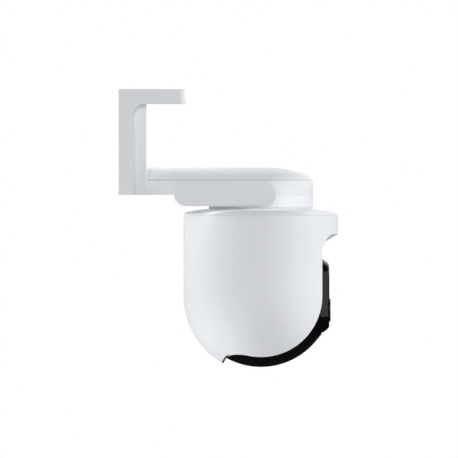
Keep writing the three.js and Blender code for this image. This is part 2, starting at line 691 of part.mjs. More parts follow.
// The carrier: a bridge over the eye and a cheek on each side that holds a tilt shaft.
function headFrame() {
  const { inner, outer, radius, bridgeTop, bridgeBottom, bridgeHalf } = cheek;
  const side = new THREE.Shape();
  side.moveTo(bridgeHalf, bridgeTop);
  side.lineTo(-bridgeHalf, bridgeTop);
  side.lineTo(-radius, bridgeHalf);
  side.lineTo(-radius, 0);
  side.absarc(0, 0, radius, Math.PI, 2 * Math.PI, false);
  side.lineTo(radius, bridgeHalf);
  let body = block([-bridgeHalf, bridgeHalf], [-outer, outer], [bridgeBottom, bridgeTop]);
  for (const [, sign] of sides) {
    const span = onSide(sign, inner, outer);
    body = body.add(prismY(side, span));
    body = body.subtract(rod("y", [span[0] - 1, span[1] + 1], tiltShaft.radius + tiltBush.wall + gap));
    const postSpan = [bridgeTop - 0.5, lidUnderside - gap];
    body = body.add(rod("z", postSpan, framePost.radius, [0, sign * framePost.y]));
  }
  return body;
}

function makeHead() {
  const { inner, outer, radius } = tiltMotor;
  piece(head, "housing_shell", housingShell(), "white");
  piece(head, "housing_top", housingTop(), "white");
  piece(head, "visor_liner", visorLiner(), "white");
  piece(head, "head_frame", headFrame(), "darkGrey");
  for (const [side, sign] of sides) {
    const span = onSide(sign, tiltBush.from, tiltBush.to);
    const bush = tube("y", span, tiltShaft.radius + tiltBush.wall, tiltShaft.radius + gap);
    piece(head, "tilt_bush_" + side, bush, "nylon");
  }
  const motor = rod("y", [inner, outer], radius, [0, gearDistance], segments.inside);
  const bore = rod("y", [inner - 1, inner + 5], motorBore, [0, gearDistance]);
  const cone = joined(
    rod("x", [speaker.front, speaker.back], speaker.radius, [0, speaker.z], segments.inside),
    rod("x", [speaker.back - 1, speaker.back + 3], speaker.magnet, [0, speaker.z]),
  );
  piece(head, "tilt_motor", cut(motor, bore), "steel");
  piece(head, "drive_board", block(...boards.drive), "board");
  piece(head, "speaker", cone, "darkGrey");
}

function makeTiltPinion() {
  const teeth = prismY(pinionOutline, tiltWheel).translate(0, 0, gearDistance);
  const stem = rod("y", [tiltWheel[0] - 0.4, tiltMotor.inner + 4], motorShaft, [0, gearDistance]);
  piece(head, "tilt_pinion", teeth.add(stem), "brass");
}

// ---------------------------------------------------------------- eye: the ball that tilts

function slicedBall(radius, halfWidth) {
  const sphere = solid(new THREE.SphereGeometry(radius, segments.outside, segments.outside / 2));
  return sphere.intersect(block([-radius, radius], [-halfWidth, halfWidth], [-radius, radius]));
}

// The face's bevelled block, from deep inside the ball to its flat front.
function panelLoft(grow) {
  const swell = ([halfWidth, halfHeight]) => [halfWidth + grow, halfHeight + grow];
  const root = roundedOutline(swell(panel.rootHalf), panel.rootCorner + grow);
  const face = roundedOutline(swell(panel.faceHalf), panel.faceCorner + grow);
  return loft(root, face, [panel.root, panel.face]);
}

function ballHalf(sign) {
  const shell = cut(slicedBall(ball.radius, ball.halfWidth),
    slicedBall(ball.radius - ball.skin, ball.halfWidth - ball.skin));
  const reach = ball.radius + 1;
  const span = sign > 0 ? [ball.split, reach] : [-reach, -ball.split];
  const half = shell.intersect(block(span, [-reach, reach], [-reach, reach]));
  return half.subtract(rod("y", [-reach, reach], tiltShaft.radius + gap));
}

function facePanel() {
  const { face, skin } = panel;
  const inside = panelLoft(-skin).translate(-skin, 0, 0);
  const span = [face - 4 * skin, face + skin];
  const holes = [
    rod("x", span, lens.ringRadius + gap, [0, lens.z], segments.inside),
    rod("x", span, lightSensor.radius + gap, [0, lightSensor.z]),
    rod("x", span, microphone.radius + gap, [0, microphone.z]),
    rod("x", span, spot.radius + gap, [-spot.y, spot.z], segments.inside),
    rod("x", span, spot.radius + gap, [spot.y, spot.z], segments.inside),
  ];
  return cut(panelLoft(0), inside, ...holes);
}

function makeShells() {
  const { face } = panel;
  const ballCrown = block([face - 2, ball.radius + 1], [-18, 18], [-18, 18]);
  piece(eye, "ball_front_shell", cut(ballHalf(1), panelLoft(gap), ballCrown), "black");
  piece(eye, "ball_rear_shell", ballHalf(-1), "black");
  piece(eye, "face_panel", facePanel(), "black");
}

function makeLens() {
  const { face, skin } = panel;
  const { z, ringRadius, ringProud, glassRadius, glassBack, glassFront } = lens;
  const ringSpan = [face - skin - 1, face + ringProud];
  const ring = tube("x", ringSpan, ringRadius, glassRadius + gap, [0, z], segments.inside);
  const glass = rod("x", [face - glassBack, face - glassFront], glassRadius, [0, z], segments.inside);
  const body = joined(
    rod("x", [barrel.back, barrel.shoulder], barrel.radius, [0, z], segments.inside),
    rod("x", [barrel.shoulder - 1, face - glassBack - gap], glassRadius, [0, z], segments.inside),
  );
  piece(eye, "lens_ring", ring, "black");
  piece(eye, "lens_glass", glass, "glass");
  piece(eye, "lens_barrel", body, "darkGrey");
  piece(eye, "sensor_board", block(...boards.sensor), "board");
}

// The light sensor, the microphone and the two lights, on their board behind the face.
function makeLights() {
  const { face } = panel;
  const back = boards.light[0][1] + gap;
  piece(eye, "light_board", block(...boards.light), "board");
  const sensor = rod("x", [back, face - 0.2], lightSensor.radius, [0, lightSensor.z]);
  const capsule = rod("x", [back, face - 0.6], microphone.radius, [0, microphone.z]);
  piece(eye, "light_sensor", sensor, "glass");
  piece(eye, "microphone", capsule, "darkGrey");
  for (const [side, sign] of sides) {
    const at = [sign * spot.y, spot.z];
    const lensSpan = [spot.back, face - 0.1];
    piece(eye, "light_lens_" + side, rod("x", lensSpan, spot.radius, at, segments.inside), "clear");
    piece(eye, "light_led_" + side, rod("x", [back, spot.back - gap], spot.led, at), "clear");
  }
}

// The flanged shafts that the eye tilts on; the right one is longer and carries the wheel.
function makeTiltShafts() {
  const wallInside = ball.halfWidth - ball.skin - gap;
  for (const [side, sign] of sides) {
    const outer = sign > 0 ? tiltShaft.end : tiltShaft.shortEnd;
    const flangeSpan = onSide(sign, wallInside - tiltShaft.flangeThickness, wallInside);
    const stem = rod("y", onSide(sign, wallInside - 1, outer), tiltShaft.radius);
    piece(eye, "tilt_shaft_" + side, joined(stem, rod("y", flangeSpan, tiltShaft.flange)), "steel");
  }
  const hole = rod("y", [tiltWheel[0] - 1, tiltWheel[1] + 1], tiltShaft.radius + gap);
  piece(eye, "tilt_gear", cut(prismY(wheelOutline, tiltWheel), hole), "nylon");
}

// ---------------------------------------------------------------- antennas that fold along the arm

function capsule(radius) {
  const length = antenna.pivotX - antenna.tipX - antenna.radius;
  const shape = new THREE.Shape();
  shape.absarc(0, 0, radius, -Math.PI / 2, Math.PI / 2, false);
  shape.absarc(-length, 0, radius, Math.PI / 2, 1.5 * Math.PI, false);
  return shape;
}

// Both antennas are drawn on the right; the left one's group mirrors it.
function makeAntenna(side, sign) {
  const { inner, seam, outer, skin, radius } = antenna;
  const pocket = prismY(capsule(radius - skin), [inner + skin, outer - skin], segments.arc);
  const pinHole = rod("y", [inner - 1, inner + skin + 1], antennaPin.radius + gap);
  const back = cut(prismY(capsule(radius), [inner, seam]), pocket, pinHole);
  const front = cut(prismY(capsule(radius), [seam + gap, outer]), pocket);
  const flangeSpan = [inner + skin + gap, inner + skin + gap + antennaPin.flangeThickness];
  const pin = joined(
    rod("y", [antennaPin.end, flangeSpan[0] + 0.5], antennaPin.radius),
    rod("y", flangeSpan, antennaPin.flange),
  );
  const clip = tube("y", [antennaClip.from, antennaClip.to], antennaClip.radius, antennaPin.radius + gap);
  const group = new THREE.Group();
  group.position.set(antenna.pivotX, 0, antenna.pivotZ);
  group.scale.set(1, sign, 1);
  camera.add(group);
  const name = "antenna_" + side;
  piece(group, name + "_back", back, "white");
  piece(group, name + "_cover", front, "white");
  piece(group, name + "_element", block(...element), "brass");
  piece(group, name + "_pin", pin, "steel");
  piece(group, name + "_clip", clip, "steel");
}

// ---------------------------------------------------------------- assembly

makeBracket();
makeArmElectronics();
makePanDrive();
makePanShaft();
makeHead();
makeTiltPinion();
makeShells();
makeLens();
makeLights();
makeTiltShafts();
for (const [side, sign] of sides) makeAntenna(side, sign);

export default camera;
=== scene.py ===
"""Looks of the pan and tilt monitor camera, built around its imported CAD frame.

Every visible shell is rebuilt here as a fine mesh in the CAD's own frame; hidden pieces keep their CAD
meshes. Shapes are written in millimetres and stored in metres.
"""

import json
import math

import bmesh
import bpy
from mathutils import Matrix, Vector


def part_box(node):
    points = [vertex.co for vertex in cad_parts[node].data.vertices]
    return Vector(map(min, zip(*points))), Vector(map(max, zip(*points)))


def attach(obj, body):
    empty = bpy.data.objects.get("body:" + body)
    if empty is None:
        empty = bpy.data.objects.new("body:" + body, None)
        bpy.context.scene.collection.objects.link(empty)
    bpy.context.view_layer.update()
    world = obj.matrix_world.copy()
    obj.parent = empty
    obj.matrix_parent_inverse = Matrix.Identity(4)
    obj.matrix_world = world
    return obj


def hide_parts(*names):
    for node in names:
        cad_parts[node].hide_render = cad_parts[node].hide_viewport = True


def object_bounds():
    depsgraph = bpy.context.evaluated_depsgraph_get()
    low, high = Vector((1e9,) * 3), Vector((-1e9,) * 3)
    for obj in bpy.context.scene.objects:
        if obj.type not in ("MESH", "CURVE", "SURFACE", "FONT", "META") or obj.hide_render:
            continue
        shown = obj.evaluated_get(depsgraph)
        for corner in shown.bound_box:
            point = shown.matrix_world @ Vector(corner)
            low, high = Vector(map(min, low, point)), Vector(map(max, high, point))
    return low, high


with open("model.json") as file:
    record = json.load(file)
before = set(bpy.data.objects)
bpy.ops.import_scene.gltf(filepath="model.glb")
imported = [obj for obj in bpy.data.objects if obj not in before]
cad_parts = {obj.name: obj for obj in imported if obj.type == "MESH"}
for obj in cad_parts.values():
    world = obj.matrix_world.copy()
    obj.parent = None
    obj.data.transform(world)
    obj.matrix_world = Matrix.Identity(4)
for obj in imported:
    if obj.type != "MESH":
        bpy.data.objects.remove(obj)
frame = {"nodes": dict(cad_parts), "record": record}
cad_low, cad_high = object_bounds()

MM = 0.001

# ------------------------------------------------------------ sizes read from the frame, in millimetres


def box_mm(node):
    low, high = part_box(node)
    return low / MM, high / MM


shell_low, shell_high = box_mm("housing_shell")
ball_low, ball_high = box_mm("ball_front_shell")
frame_low, frame_high = box_mm("bracket_frame")
cap_low, cap_high = box_mm("bracket_cap")
ring_low, ring_high = box_mm("base_ring")
panel_low, panel_high = box_mm("face_panel")
lens_low, lens_high = box_mm("lens_ring")
cover_low, cover_high = box_mm("antenna_left_cover")
back_low, back_high = box_mm("antenna_left_back")

DRUM_R = (shell_high.y - shell_low.y) / 2
AXIS_X = (shell_low.x + shell_high.x) / 2
BALL_R = (ball_high.z - ball_low.z) / 2
TILT_Z = (ball_low.z + ball_high.z) / 2
CENTRE = Vector((AXIS_X, 0, TILT_Z))
BALL_HALF = ball_high.y
ARM_R = ring_high.y

# ------------------------------------------------------------ shapes the boxes don't give, in millimetres

GAP = 0.3
DRUM_SKIN = 3.2
SLOT = {
    "half": BALL_HALF + 0.6, "top": 40.0, "corner": 12.7, "slope": 30.0, "end": 119.3,
    "end_corner": 11.7,
}
PANEL = {
    "face_half": (23.8, 20.8), "root_half": (28.4, 32.6), "face_corner": 7.5, "root_corner": 20.0,
    "edge_blend": 1.6, "foot_blend": 2.2, "seam_x": 39.0,
}
PANEL_TIP = panel_high.x - AXIS_X
PANEL_ROOT = panel_low.x - AXIS_X
PLATE = {"depth": 10.0, "skin": 2.4, "screw_y": 30.0, "screw_z": 22.0}
TOP_ARM = {"reach": 43.6, "lean": 0.8, "corner": 4.2, "fillet": 6.5, "screw_x": 31, "screw_y": 25}
SPINE = {"front": cap_low.x - GAP, "flare": 38.6}
LOWER_ARM = {"top": -24.7, "floor": cap_low.z - GAP, "flare_end": 43.0, "flare_pulls": (20.0, 24.0)}
CAP_FULLNESS = 0.57
LID = {"rim": 52.9, "rise": 4.6, "landing": 56.0, "landing_r": ARM_R + 0.4}
BACKDROP = {"depth": (-0.1, 0.5), "height": (0.0, 0.12), "colour": (1.8, 1.82, 1.84)}


# ------------------------------------------------------------------ mesh helpers


def bezier(start, pull_a, pull_b, end, count):
    """Points on a cubic curve in a plane."""
    points = []
    for t in linspace(0, 1, count):
        u = 1 - t
        weights = (u**3, 3 * u * u * t, 3 * u * t * t, t**3)
        corners = (start, pull_a, pull_b, end)
        points.append(tuple(sum(w * c[k] for w, c in zip(weights, corners)) for k in (0, 1)))
    return points


def linspace(start, end, count):
    return [start + (end - start) * i / (count - 1) for i in range(count)]


def arc(centre, radius, start, end, count):
    """Points on an arc in a plane, from one angle to another in degrees."""
    cx, cy = centre
    angles = [math.radians(a) for a in linspace(start, end, count)]
    return [(cx + radius * math.cos(a), cy + radius * math.sin(a)) for a in angles]


def mesh_from(name, points, faces):
    mesh = bpy.data.meshes.new(name)
    mesh.from_pydata([Vector(p) * MM for p in points], [], faces)
    bm = bmesh.new()
    bm.from_mesh(mesh)
    bmesh.ops.remove_doubles(bm, verts=bm.verts, dist=1e-7)
    bmesh.ops.dissolve_degenerate(bm, edges=bm.edges, dist=1e-8)
    stray = [edge for edge in bm.edges if not edge.link_faces]
    bmesh.ops.delete(bm, geom=stray, context="EDGES")
    bmesh.ops.recalc_face_normals(bm, faces=bm.faces)
    bm.to_mesh(mesh)
    bm.free()
    obj = bpy.data.objects.new(name, mesh)
    bpy.context.scene.collection.objects.link(obj)
    return obj


def grid(name, rows, wrap_rows=False, wrap_columns=True, caps=False):
    """A surface through rows of points, each row as long as the next."""
    count = len(rows[0])
    points = [p for row in rows for p in row]
    faces = []
    row_pairs = len(rows) if wrap_rows else len(rows) - 1
    column_pairs = count if wrap_columns else count - 1
    for r in range(row_pairs):
        for c in range(column_pairs):
            here, there = r * count, ((r + 1) % len(rows)) * count
            nxt = (c + 1) % count
            faces.append((here + c, here + nxt, there + nxt, there + c))
    if caps:
        faces.append(tuple(range(count)))
        faces.append(tuple(range((len(rows) - 1) * count, len(rows) * count)))
    return mesh_from(name, points, faces)


def lathe(name, profile, axis="z", at=(0, 0, 0), steps=160):
    """A closed profile of (radius, height) pairs turned about an axis through a point."""
    rows = []
    for radius, height in profile:
        row = []
        for i in range(steps):
            a = 2 * math.pi * i / steps
            u, v = radius * math.cos(a), radius * math.sin(a)
            local = {"x": (height, u, v), "y": (v, height, u), "z": (u, v, height)}[axis]
            row.append(tuple(l + o for l, o in zip(local, at)))
        rows.append(row)
    return grid(name, rows, wrap_rows=True)


def prism(name, outline, span, axis):
    """An outline of (first, second) pairs in the plane across an axis, in X, Y, Z order, made solid."""
    rows = []
    for height in span:
        place = {
            "x": lambda a, b: (height, a, b),
            "y": lambda a, b: (a, height, b),
            "z": lambda a, b: (a, b, height),
        }[axis]
        rows.append([place(a, b) for a, b in outline])
    return grid(name, rows, caps=True)


def block(name, low, high):
    outline = [(low[0], low[1]), (high[0], low[1]), (high[0], high[1]), (low[0], high[1])]
    return prism(name, outline, (low[2], high[2]), "z")


def rounded_rect(half, corner, steps=12):
    """The outline of a rectangle with round corners about the origin."""
    points = []
    for quarter, (sx, sy) in enumerate([(1, 1), (-1, 1), (-1, -1), (1, -1)]):
        centre = (sx * (half[0] - corner), sy * (half[1] - corner))
        points += arc(centre, corner, 90 * quarter, 90 * quarter + 90, steps + 1)
    return points


def apply_modifiers(obj):
    bpy.context.view_layer.update()
    done = bpy.data.meshes.new_from_object(obj.evaluated_get(bpy.context.evaluated_depsgraph_get()))
    obj.modifiers.clear()
    obj.data = done
    return obj


def boolean(obj, cutters, operation="DIFFERENCE"):
    for cutter in cutters:
        step = obj.modifiers.new("cut", "BOOLEAN")
        step.operation = operation
        step.solver = "EXACT"
        step.object = cutter
        apply_modifiers(obj)
        bpy.data.objects.remove(cutter)
    return obj


def bevel(obj, width, segments=3, angle=35):
    step = obj.modifiers.new("edges", "BEVEL")
    step.width = width * MM
    step.segments = segments
    step.limit_method = "ANGLE"
    step.angle_limit = math.radians(angle)
    return apply_modifiers(obj)


def smooth(obj, angle=32):
    """Shades the mesh smooth, with sharp edges where faces meet at more than the angle."""
    bm = bmesh.new()
    bm.from_mesh(obj.data)
    bmesh.ops.remove_doubles(bm, verts=bm.verts, dist=1e-7)
    limit = math.radians(angle)
    for face in bm.faces:
        face.smooth = True
    for edge in bm.edges:
        edge.smooth = len(edge.link_faces) == 2 and edge.calc_face_angle(0) < limit
    bm.to_mesh(obj.data)
    bm.free()
    return obj


def finished(obj, body, material, slot, *nodes):
    """Gives a piece its shading, its material, its body and the CAD nodes that it stands for."""
    smooth(obj)
    obj.data.materials.clear()
    obj.data.materials.append(material)
    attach(obj, body)
    if nodes:
        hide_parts(*nodes)
    return obj


def moved(obj, offset):
    obj.data.transform(Matrix.Translation(Vector(offset) * MM))
    return obj


# ------------------------------------------------------------------ materials


def node_material(name):
    material = bpy.data.materials.new(name)
    material.use_nodes = True
    return material, material.node_tree, material.node_tree.nodes["Principled BSDF"]


def object_noise(tree, scale, detail=2.0):
    place = tree.nodes.new("ShaderNodeTexCoord")
    noise = tree.nodes.new("ShaderNodeTexNoise")
    noise.inputs["Scale"].default_value = scale
    noise.inputs["Detail"].default_value = detail
    tree.links.new(place.outputs["Object"], noise.inputs["Vector"])
    return noise


def vary(tree, shader, socket, noise, low, high):
    """Drives a shader socket between two values by a noise."""
    ramp = tree.nodes.new("ShaderNodeMapRange")
    ramp.inputs["To Min"].default_value = low
    ramp.inputs["To Max"].default_value = high
    tree.links.new(noise.outputs["Fac"], ramp.inputs["Value"])
    tree.links.new(ramp.outputs["Result"], shader.inputs[socket])


def colour_mix(tree, factor, low, high):
    """A mix between two colours by another node's output."""
    mix = tree.nodes.new("ShaderNodeMix")
    mix.data_type = "RGBA"
    mix.inputs["A"].default_value = (*low, 1)
    mix.inputs["B"].default_value = (*high, 1)
    tree.links.new(factor, mix.inputs["Factor"])
    return mix


def tint(tree, shader, noise, low, high):
    """Mixes the base colour between two tones by a noise."""
    mix = colour_mix(tree, noise.outputs["Fac"], low, high)
    tree.links.new(mix.outputs["Result"], shader.inputs["Base Color"])


def bump(tree, shader, noise, strength, depth_mm):
    step = tree.nodes.new("ShaderNodeBump")
    step.inputs["Strength"].default_value = strength
    step.inputs["Distance"].default_value = depth_mm * MM
    tree.links.new(noise.outputs["Fac"], step.inputs["Height"])
    tree.links.new(step.outputs["Normal"], shader.inputs["Normal"])


def plastic(name, low, high, roughness, grain=2600.0, depth_mm=0.01, coat=0.0, shine=0.5):
    """Moulded plastic: two close tones, uneven gloss and a fine moulded grain."""
    material, tree, shader = node_material(name)
    tint(tree, shader, object_noise(tree, 35.0, 4.0), low, high)
    vary(tree, shader, "Roughness", object_noise(tree, 90.0, 3.0), *roughness)
    bump(tree, shader, object_noise(tree, grain), 0.25, depth_mm)
    shader.inputs["Coat Weight"].default_value = coat
    shader.inputs["Specular IOR Level"].default_value = shine
    return material


def metal(name, low, high, roughness, grain=900.0):
    material, tree, shader = node_material(name)
    tint(tree, shader, object_noise(tree, 120.0, 5.0), low, high)
    vary(tree, shader, "Roughness", object_noise(tree, grain, 2.0), *roughness)
    shader.inputs["Metallic"].default_value = 0.55
    return material


def glass(name, colour, roughness, transmission, coat, alpha=1.0):
    material, tree, shader = node_material(name)
    shader.inputs["Base Color"].default_value = (*colour, 1)
    shader.inputs["Transmission Weight"].default_value = transmission
    shader.inputs["Alpha"].default_value = alpha
    shader.inputs["Coat Weight"].default_value = coat
    vary(tree, shader, "Roughness", object_noise(tree, 60.0, 3.0), *roughness)
    return material


def circuit_board(name):
    """Green solder mask over a faint pattern of copper tracks."""
    material, tree, shader = node_material(name)
    place = tree.nodes.new("ShaderNodeTexCoord")
    tracks = tree.nodes.new("ShaderNodeTexBrick")
    tracks.inputs["Scale"].default_value = 260.0
    tracks.inputs["Color1"].default_value = (0.012, 0.105, 0.045, 1)
    tracks.inputs["Color2"].default_value = (0.016, 0.13, 0.055, 1)
    tracks.inputs["Mortar"].default_value = (0.05, 0.2, 0.08, 1)
    tracks.inputs["Mortar Size"].default_value = 0.03
    tree.links.new(place.outputs["Object"], tracks.inputs["Vector"])
    tree.links.new(tracks.outputs["Color"], shader.inputs["Base Color"])
    vary(tree, shader, "Roughness", object_noise(tree, 400.0), 0.3, 0.45)
    return material


WHITE = plastic("satin_white_plastic", (0.80, 0.815, 0.835), (0.83, 0.845, 0.865), (0.36, 0.44), shine=0.2)
BLACK = plastic(
    "gloss_black_plastic", (0.0025, 0.0025, 0.003), (0.004, 0.004, 0.005), (0.05, 0.09), 700.0, 0.001
)
DARK = plastic("matte_dark_plastic", (0.02, 0.02, 0.022), (0.03, 0.03, 0.033), (0.5, 0.62), 3000.0, 0.03)
RUBBER = plastic("soft_rubber", (0.025, 0.025, 0.027), (0.04, 0.04, 0.042), (0.75, 0.9), 2200.0, 0.04)
NYLON = plastic("moulded_nylon", (0.72, 0.70, 0.62), (0.78, 0.76, 0.68), (0.42, 0.55))
STEEL = metal("zinc_plated_steel", (0.55, 0.56, 0.58), (0.66, 0.67, 0.69), (0.24, 0.4))
PHOSPHOR = plastic("emitter_phosphor", (0.78, 0.64, 0.20), (0.84, 0.70, 0.26), (0.3, 0.4))
BRASS = metal("machined_brass", (0.72, 0.5, 0.2), (0.82, 0.6, 0.28), (0.2, 0.34))
BOARD = circuit_board("solder_mask")
LENS = glass("coated_lens_glass", (0.16, 0.18, 0.36), (0.01, 0.04), 0.8, 1.0)
CLEAR = glass("clear_moulded_lens", (0.92, 0.93, 0.95), (0.05, 0.12), 0.9, 0.3, 0.3)

SLOT_MATERIALS = {
    "white_plastic": WHITE, "black_gloss": BLACK, "lens_glass": LENS, "clear_lens": CLEAR,
    "dark_plastic": DARK,
    "rubber": RUBBER, "nylon": NYLON, "circuit_board": BOARD, "brass": BRASS, "steel": STEEL,
}


def dress_cad_nodes():
    """Gives every CAD node its slot's procedural material and fine rounded edges."""
    for row in frame["record"]["subparts"]:
        obj = frame["nodes"][row["node"]]
        edges = obj.modifiers.new("edges", "BEVEL")
        edges.width = 0.2 * MM
        edges.segments = 2
        edges.limit_method = "ANGLE"
        edges.angle_limit = math.radians(40)
        obj.data.materials.clear()
        obj.data.materials.append(SLOT_MATERIALS[row["material_slot"]])


# ------------------------------------------------------------------ camera, light and stage


def make_camera():
    """Square on to the side and without perspective, a little wider than the object is tall."""
    centre = (cad_low + cad_high) / 2
    view_width = (cad_high.z - cad_low.z) * 1.6485
    data = bpy.data.cameras.new("camera")
    data.type = "ORTHO"
    data.ortho_scale = view_width
    camera = bpy.data.objects.new("camera", data)
    camera.location = centre + Vector((0.0004, -5 * view_width, -0.0006))
    camera.rotation_euler = (math.pi / 2, 0, 0)
    bpy.context.scene.collection.objects.link(camera)
    bpy.context.scene.camera = camera


def make_lamp(name, kind, place, aim, power):
    """A lamp that the camera doesn't see, turned towards its aim."""
    data = bpy.data.lights.new(name, kind)
    data.energy = power
    lamp = bpy.data.objects.new(name, data)
    lamp.location = place
    lamp.rotation_mode = "QUATERNION"
    lamp.rotation_quaternion = (Vector(place) - Vector(aim)).to_track_quat("Z", "Y")
    lamp.visible_camera = False
    bpy.context.scene.collection.objects.link(lamp)
    return lamp


def make_wide_light(name, azimuth, elevation, brightness, width, in_gloss=False):
    """An even light from far away; azimuth counts from the camera's side towards +X, in degrees."""
    turn, rise = math.radians(azimuth), math.radians(elevation)
    towards = Vector((math.sin(turn) * math.cos(rise), -math.cos(turn) * math.cos(rise), math.sin(rise)))
    lamp = make_lamp(name, "SUN", towards, (0, 0, 0), brightness * math.pi / 0.83)
    lamp.data.angle = math.radians(width)
    lamp.visible_glossy = in_gloss


def make_softbox(name, place, aim, size, power, only_gloss=False):
    """A rectangular light, which lights either matt or gloss surfaces."""
    lamp = make_lamp(name, "AREA", place, aim, power)
    lamp.data.shape = "RECTANGLE"
    lamp.data.size, lamp.data.size_y = size
    lamp.visible_glossy = only_gloss
    lamp.visible_diffuse = not only_gloss


def make_lights():
    """Wide lights all round, small ones in the arm's and the base ring's corners, and cards for gloss."""
    make_wide_light("front_light", 0, 24, 0.418, 60)
    make_wide_light("left_light", -105, -28, 0.64, 40)
    make_wide_light("right_light", 97, 0, 0.55, 30)
    make_wide_light("back_light", 180, 15, 0.35, 60)
    over_arm = Vector((cap_low.x + 3.6, 0, cap_high.z + 12.4)) * MM
    arm_root = Vector((cap_low.x + 11.6, 0, cap_high.z - 3.6)) * MM
    make_softbox("arm_light", over_arm, arm_root, (0.01, 0.05), 0.0013)
    beside_ring = Vector((AXIS_X, -ARM_R - 6.7, ring_low.z + 0.4)) * MM
    ring_foot = Vector((AXIS_X, -ARM_R - 0.2, ring_low.z + 0.2)) * MM
    make_softbox("seam_light", beside_ring, ring_foot, (0.08, 0.0012), 0.001)
    make_softbox("front_card", (0.9, -0.25, 0.25), CENTRE * MM, (0.4, 0.4), 1.2, True)
    make_softbox("gloss_card", (0.50, -0.69, 0.05), CENTRE * MM, (0.9, 0.5), 1.3, True)


def make_stage():
    """A plain pale floor under the object, and a white studio round it that gloss sees as dark."""
    half = 0.5
    drop = 0.12
    z = cad_low.z - drop
    corners = [(-half, -half), (half, -half), (half, half), (-half, half)]
    floor = mesh_from("floor", [(x / MM, y / MM, z / MM) for x, y in corners], [(0, 1, 2, 3)])
    material, tree, shader = node_material("pale_floor")
    tint(tree, shader, object_noise(tree, 3.0), (0.84, 0.84, 0.84), (0.88, 0.88, 0.88))
    shader.inputs["Roughness"].default_value = 0.9
    floor.data.materials.append(material)
    floor.visible_glossy = False
    floor.visible_shadow = False


def fade_between(tree, value, low, high):
    """0 up to a low value, 1 from a high one."""
    fade = tree.nodes.new("ShaderNodeMapRange")
    fade.inputs["From Min"].default_value = low
    fade.inputs["From Max"].default_value = high
    tree.links.new(value, fade.inputs["Value"])
    return fade.outputs["Result"]


def make_studio():
    """White to the camera, soft grey to matt surfaces, and to gloss a bright card behind and overhead."""
    world = bpy.data.worlds.new("studio")
    bpy.context.scene.world = world
    world.use_nodes = True
    tree = world.node_tree
    background = tree.nodes["Background"]
    path = tree.nodes.new("ShaderNodeLightPath")
    direction = tree.nodes.new("ShaderNodeTexCoord")
    parts = tree.nodes.new("ShaderNodeSeparateXYZ")
    tree.links.new(direction.outputs["Generated"], parts.inputs["Vector"])
    behind = fade_between(tree, parts.outputs["Y"], *BACKDROP["depth"])
    above = fade_between(tree, parts.outputs["Z"], *BACKDROP["height"])
    share = tree.nodes.new("ShaderNodeMath")
    share.operation = "MULTIPLY"
    tree.links.new(behind, share.inputs[0])
    tree.links.new(above, share.inputs[1])
    gloss = colour_mix(tree, share.outputs["Value"], (0.01, 0.01, 0.01), BACKDROP["colour"])
    camera = colour_mix(tree, path.outputs["Is Camera Ray"], (0.20, 0.204, 0.21), (1, 1, 1))
    both = tree.nodes.new("ShaderNodeMix")
    both.data_type = "RGBA"
    tree.links.new(path.outputs["Is Glossy Ray"], both.inputs["Factor"])
    tree.links.new(camera.outputs["Result"], both.inputs["A"])
    tree.links.new(gloss.outputs["Result"], both.inputs["B"])
    tree.links.new(both.outputs["Result"], background.inputs["Color"])
    bpy.context.scene.view_settings.view_transform = "Standard"


# ------------------------------------------------------------------ drum


def window_outline(grow=0.0):
    """Half of the window's edge, front middle to rear middle, as rules for where it meets a shell.

    Each rule takes the shell's radius and gives a point relative to the drum's centre. A grown outline
    lies further out round the slot's sides and rear end.
    """
    half, corner, end_corner = SLOT["half"] + grow, SLOT["corner"], SLOT["end_corner"]
    rise = math.tan(math.radians(SLOT["slope"]))
    top = SLOT["top"]
    turn = math.radians(SLOT["end"])
    out = Vector((math.cos(turn), 0, -math.sin(turn)))
    along = Vector((math.sin(turn), 0, math.cos(turn)))

    def on_cylinder(y, z):
        def place(radius):
            x = math.sqrt(radius**2 - y**2)
            return Vector((x, y, z + rise * (x - math.sqrt(DRUM_R**2 - y**2))))
        return place

    def on_side(share):
        def place(radius):
            start = on_cylinder(half, top - corner)(radius)
            return Vector((start.x, half, start.z * (1 - share)))
        return place

    def on_cheek(share):
        def place(radius):
            rho = math.sqrt(radius**2 - half**2)
            a = share * (turn - math.pi / 2 + math.acos(end_corner / rho))
            return Vector((rho * math.cos(a), half, -rho * math.sin(a)))
        return place

    def on_end(y, t):
        def place(radius):
            return along * t + out * math.sqrt(radius**2 - y**2 - t**2) + Vector((0, y, 0))
        return place

    rules = [on_cylinder(y, top) for y in linspace(0, half - corner, 9)]
    rules += [on_cylinder(y, z) for y, z in arc((half - corner, top - corner), corner, 90, 0, 15)[1:]]
    rules += [on_side(s) for s in linspace(0, 1, 13)[1:]]
    rules += [on_cheek(s) for s in linspace(0, 1, 37)[1:]]
    middle_y = SLOT["half"] - end_corner
    rules += [on_end(y, -t) for y, t in arc((middle_y, -end_corner), end_corner + grow, 0, 90, 11)[1:]]
    rules += [on_end(y, -grow) for y in linspace(middle_y, 0, 9)[1:]]
    return rules


def make_slot_shade_lip():
    """A dark lip round the rear end of the slot that the eye turns in: painted shade for the shadowed cut
    edge of the slot there, not a part of the CAD.
    """
    start = -12
    edge, lap, root = (window_outline(grow)[start:] for grow in (-0.3, 1.0, 0.4))
    section = [
        (edge, -DRUM_SKIN + 0.1), (edge, -0.5), (edge, -0.15), (root, 0.1), (lap, 0.1), (lap, -0.2),
        (root, -0.3), (root, -DRUM_SKIN + 0.1),
    ]
    half = [[rules[i](DRUM_R + rise) for rules, rise in section] for i in range(-start)]
    rows = half + [[Vector((p.x, -p.y, p.z)) for p in row] for row in half[-2::-1]]
    shade_lip = moved(grid("slot_shade_lip", rows, caps=True), CENTRE)
    # the dark plastic on this lip is painted shade on the slot's cut edge
    finished(shade_lip, "head", DARK, "dark_plastic")


